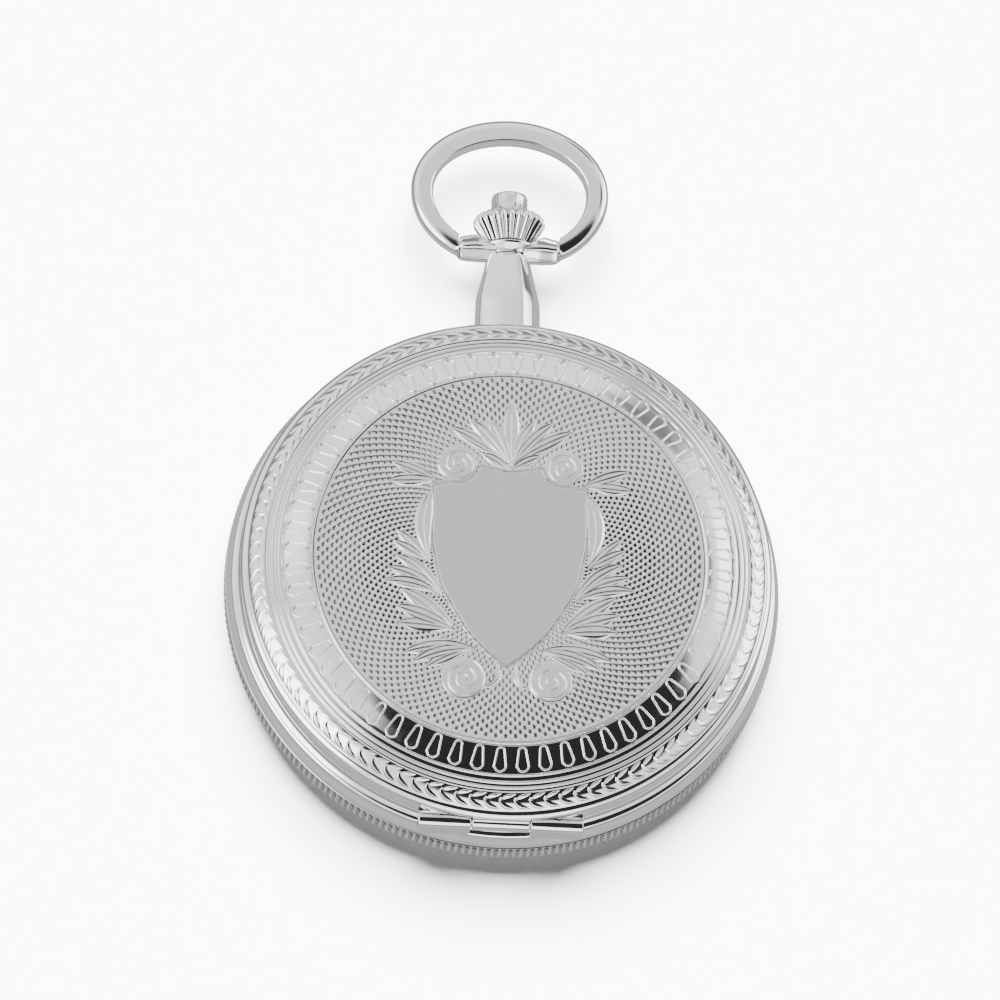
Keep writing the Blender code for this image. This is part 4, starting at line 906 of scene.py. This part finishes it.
def dial():
    """White dial with a sunk seconds ring, printed hours and minutes."""
    top, bottom = DIAL_Z - 0.02, DIAL_Z - 0.35
    profile = [(0.95, top), (DIAL_RADIUS, top), (DIAL_RADIUS, bottom), (0.95, bottom)]
    disc = turned_shape(rounded(profile, 0.04, 3), 192)
    seconds = rod(4.7, top + 0.05, DIAL_Z - 0.6, "Z", (*SECONDS_AT, 0), 96)
    sunk_profile = [(0.25, top - 0.12), (4.68, top - 0.12), (4.68, bottom), (0.25, bottom)]
    sunk = turned_shape(rounded(sunk_profile, 0.03, 3), 96)
    piece("dial_plate", [disc], WHITE, "case", ["dial"], [seconds])
    piece("seconds_dial", [(sunk[0] + (*SECONDS_AT, 0), sunk[1])], WHITE, "case")
    low, high = top - 0.02, top + 0.015
    shapes = [thin_ring((0, 0), radius, 0.07, low, high) for radius in (17.3, 18.4)]
    lines = ticks(np.zeros(2), 60, 17.3, 18.4, 5)
    for hour, text in enumerate(NUMERALS):
        if hour != 6:
            lines += numeral(text, hour)
    shapes += strokes(lines, 0.36, low, high)
    low, high = top - 0.14, top - 0.105
    shapes += [thin_ring(SECONDS_AT, radius, 0.05, low, high) for radius in (3.7, 4.3)]
    shapes += strokes(ticks(SECONDS_AT, 60, 3.7, 4.3, 5), 0.16, low, high)
    piece("dial_print", shapes, BLACK, "case", sharp=20)


def hand_shape(centre, heading, outline, hub, hole, low, high):
    """Hand cut from sheet: half outline of (along, half width), domed to a middle ridge, on a round hub."""
    outline = np.array(outline, float)
    rows = []
    for along, half in outline:
        rows.append([(-half, along, low), (-half, along, (low + high) / 2), (-half * 0.35, along, high),
                     (half * 0.35, along, high), (half, along, (low + high) / 2), (half, along, low)])
    blade = capped(sheet(np.array(rows), around=True), 6)
    profile = rounded([(hole, low), (hub, low), (hub, high), (hole, high)], 0.04, 3)
    ring = turned_shape(profile, 40)
    shapes = []
    spin = np.eye(3)
    spin[:2, :2] = turned_by(-heading)
    for points, faces in (blade, ring):
        shapes.append((points @ spin + (*centre, 0), faces))
    return shapes


def spade(start, length, width):
    """Half outline of a spade hand: stem, heart-shaped head and point."""
    head = length * 0.62
    return [(start, 0.26), (head - width * 0.3, 0.2), (head, 0.22), (head + width * 0.15, width * 0.8),
            (head + width * 0.6, width), (head + width * 1.1, width * 0.82),
            (head + width * 1.7, width * 0.4), (head + width * 2.1, 0.16), (length - 0.2, 0.1),
            (length, 0.03)]


def hands():
    """Blued hour, minute and seconds hands."""
    low, high = corners("hour_hand")[0][2], corners("hour_hand")[1][2]
    shapes = hand_shape((0, 0), HOUR_HEADING, spade(1.3, 9.5, 1.15), 1.5, 0.93, low, high)
    piece("hour_pointer", shapes, BLUED, "hours", ["hour_hand"])
    low, high = corners("minute_hand")[0][2], corners("minute_hand")[1][2]
    shapes = hand_shape((0, 0), MINUTE_HEADING, spade(1.0, 15.1, 0.85), 1.2, 0.63, low, high)
    piece("minute_pointer", shapes, BLUED, "minutes", ["minute_hand"])
    low, high = corners("seconds_hand")[0][2], corners("seconds_hand")[1][2]
    blade = [(-1.6, 0.22), (-0.9, 0.16), (0.3, 0.1), (4.2, 0.06), (4.35, 0.03)]
    shapes = hand_shape(SECONDS_AT, 0, blade, 0.45, 0.18, low, high)
    piece("seconds_pointer", shapes, BLUED, "seconds", ["seconds_hand"])


# ---------------------------------------------------------------- studio

AZIMUTH, ELEVATION, ROLL = -10.7, 67.8, 12.6    # degrees, the camera about the medallion's centre
DISTANCE = 2400
AIM_RIGHT, AIM_UP = -0.80, 4.97                 # the picture's centre from the medallion's, in the picture
LENS, SENSOR = 1004.0, 36.0

# Surround seen in the metal: height of the direction, from 0 straight down to 1 straight up, and strength
HEIGHTS = ((0.0, 0.55), (0.20, 0.75), (0.36, 0.55), (0.46, 0.22), (0.53, 0.30), (0.60, 1.7), (0.75, 1.7),
           (1.0, 1.4))
# Patches of the surround, each laid over the last: direction, inner and outer angle in degrees, strength
SURROUND = (
    ((0.0, 0.35, 0.93), 10, 30, 1.2),           # even light overhead
    ((-0.8, -0.25, 0.56), 15, 26, 7.0),         # bright card on the left
    ((-0.58, 0.42, 0.70), 3, 10, 2.2),          # small card on the left
    ((0.1, -1.0, 0.45), 14, 30, 3.2),           # card below the watch
    ((0.95, 0.36, 0.36), 12, 26, 5.0),          # bright card on the right
    ((0.2, -0.3, 0.933), 30, 36.5, 0.03),       # dark opening round the camera
    ((0.418, 0.757, 0.502), 4, 10, 0.28),       # dark stand behind on the right
    ((0.50, 0.37, 0.78), 4, 9, 0.12),           # dark edge of the card on the right
)
KEY_FROM, KEY_STRENGTH, KEY_ANGLE = (-0.06, 0.47, 0.88), 43.0, 50
FLOOR_REACH, FLOOR_Z = 4000, -0.02


def studio():
    """Camera, pale floor, lamp, and a surround of bright cards and dark openings for the metal to reflect."""
    azimuth, elevation, roll = (math.radians(a) for a in (AZIMUTH, ELEVATION, ROLL))
    level = np.array([math.cos(azimuth), math.sin(azimuth), 0])
    rising = np.array([-math.sin(azimuth) * math.sin(elevation), math.cos(azimuth) * math.sin(elevation),
                       math.cos(elevation)])
    back = np.array([math.sin(azimuth) * math.cos(elevation), -math.cos(azimuth) * math.cos(elevation),
                     math.sin(elevation)])
    right = math.cos(roll) * level + math.sin(roll) * rising
    up = -math.sin(roll) * level + math.cos(roll) * rising
    aim = np.array([0, 0, TOP_Z]) + right * AIM_RIGHT + up * AIM_UP
    data = bpy.data.cameras.new("camera")
    data.lens, data.sensor_width = LENS, SENSOR
    data.clip_start, data.clip_end = 0.01, 20
    camera = bpy.data.objects.new("camera", data)
    place = np.eye(4)
    place[:3, 0], place[:3, 1], place[:3, 2] = right, up, back
    place[:3, 3] = (aim + back * DISTANCE) * MM
    camera.matrix_world = Matrix(place.tolist())
    bpy.context.scene.collection.objects.link(camera)
    bpy.context.scene.camera = camera

    edges = (-FLOOR_REACH, FLOOR_REACH)
    floor = mesh_object("floor", [sheet(np.array([[(x, y, FLOOR_Z) for x in edges] for y in edges]))])
    made, nodes = material_nodes("floor_paper")
    speck = nodes.noise(700, 3.0).outputs["Fac"]
    shader = nodes.add("ShaderNodeBsdfPrincipled", {
        "Base Color": nodes.ramp(speck, [(0.3, 0.92), (0.7, 0.95)]), "Roughness": 0.9})
    nodes.add("ShaderNodeOutputMaterial", {"Surface": shader.outputs["BSDF"]})
    floor.data.materials.append(made)
    floor.visible_glossy = False

    lamp = bpy.data.lights.new("key", "SUN")
    lamp.energy = KEY_STRENGTH
    lamp.angle = math.radians(KEY_ANGLE)
    key = bpy.data.objects.new("key", lamp)
    key.visible_glossy = False
    key.rotation_euler = Vector(KEY_FROM).to_track_quat("Z", "Y").to_euler()
    bpy.context.scene.collection.objects.link(key)

    world = bpy.data.worlds.new("studio")
    world.use_nodes = True
    bpy.context.scene.world = world
    nodes = Nodes(world.node_tree)
    direction = nodes.add("ShaderNodeTexCoord").outputs["Generated"]
    height = nodes.add("ShaderNodeSeparateXYZ", {0: direction}).outputs["Z"]
    light = nodes.ramp(nodes.span(height, -1.0, 1.0, 0.0, 1.0, smooth=False), HEIGHTS)
    for towards, inner, outer, strength in SURROUND:
        aim = nodes.add("ShaderNodeVectorMath", {0: direction, 1: tuple(Vector(towards).normalized())},
                        operation="DOT_PRODUCT").outputs["Value"]
        share = nodes.span(aim, math.cos(math.radians(outer)), math.cos(math.radians(inner)), 0.0, 1.0)
        light = nodes.add("ShaderNodeMix", {0: share, 2: light, 3: strength}, data_type="FLOAT").outputs[0]
    background = nodes.add("ShaderNodeBackground", {"Color": (1, 1, 1, 1), "Strength": light})
    nodes.add("ShaderNodeOutputWorld", {"Surface": background.outputs["Background"]})
    world.cycles_visibility.diffuse = False


dress_cad_nodes()
lid_shell()
lid_medallion()
lid_drops()
lid_border()
lid_shield()
lid_foliage()
case_middle()
coin_edge()
back_cover()
bezel_and_crystal()
pendant_neck()
bow_collar()
bow()
crown()
dial()
hands()
studio()
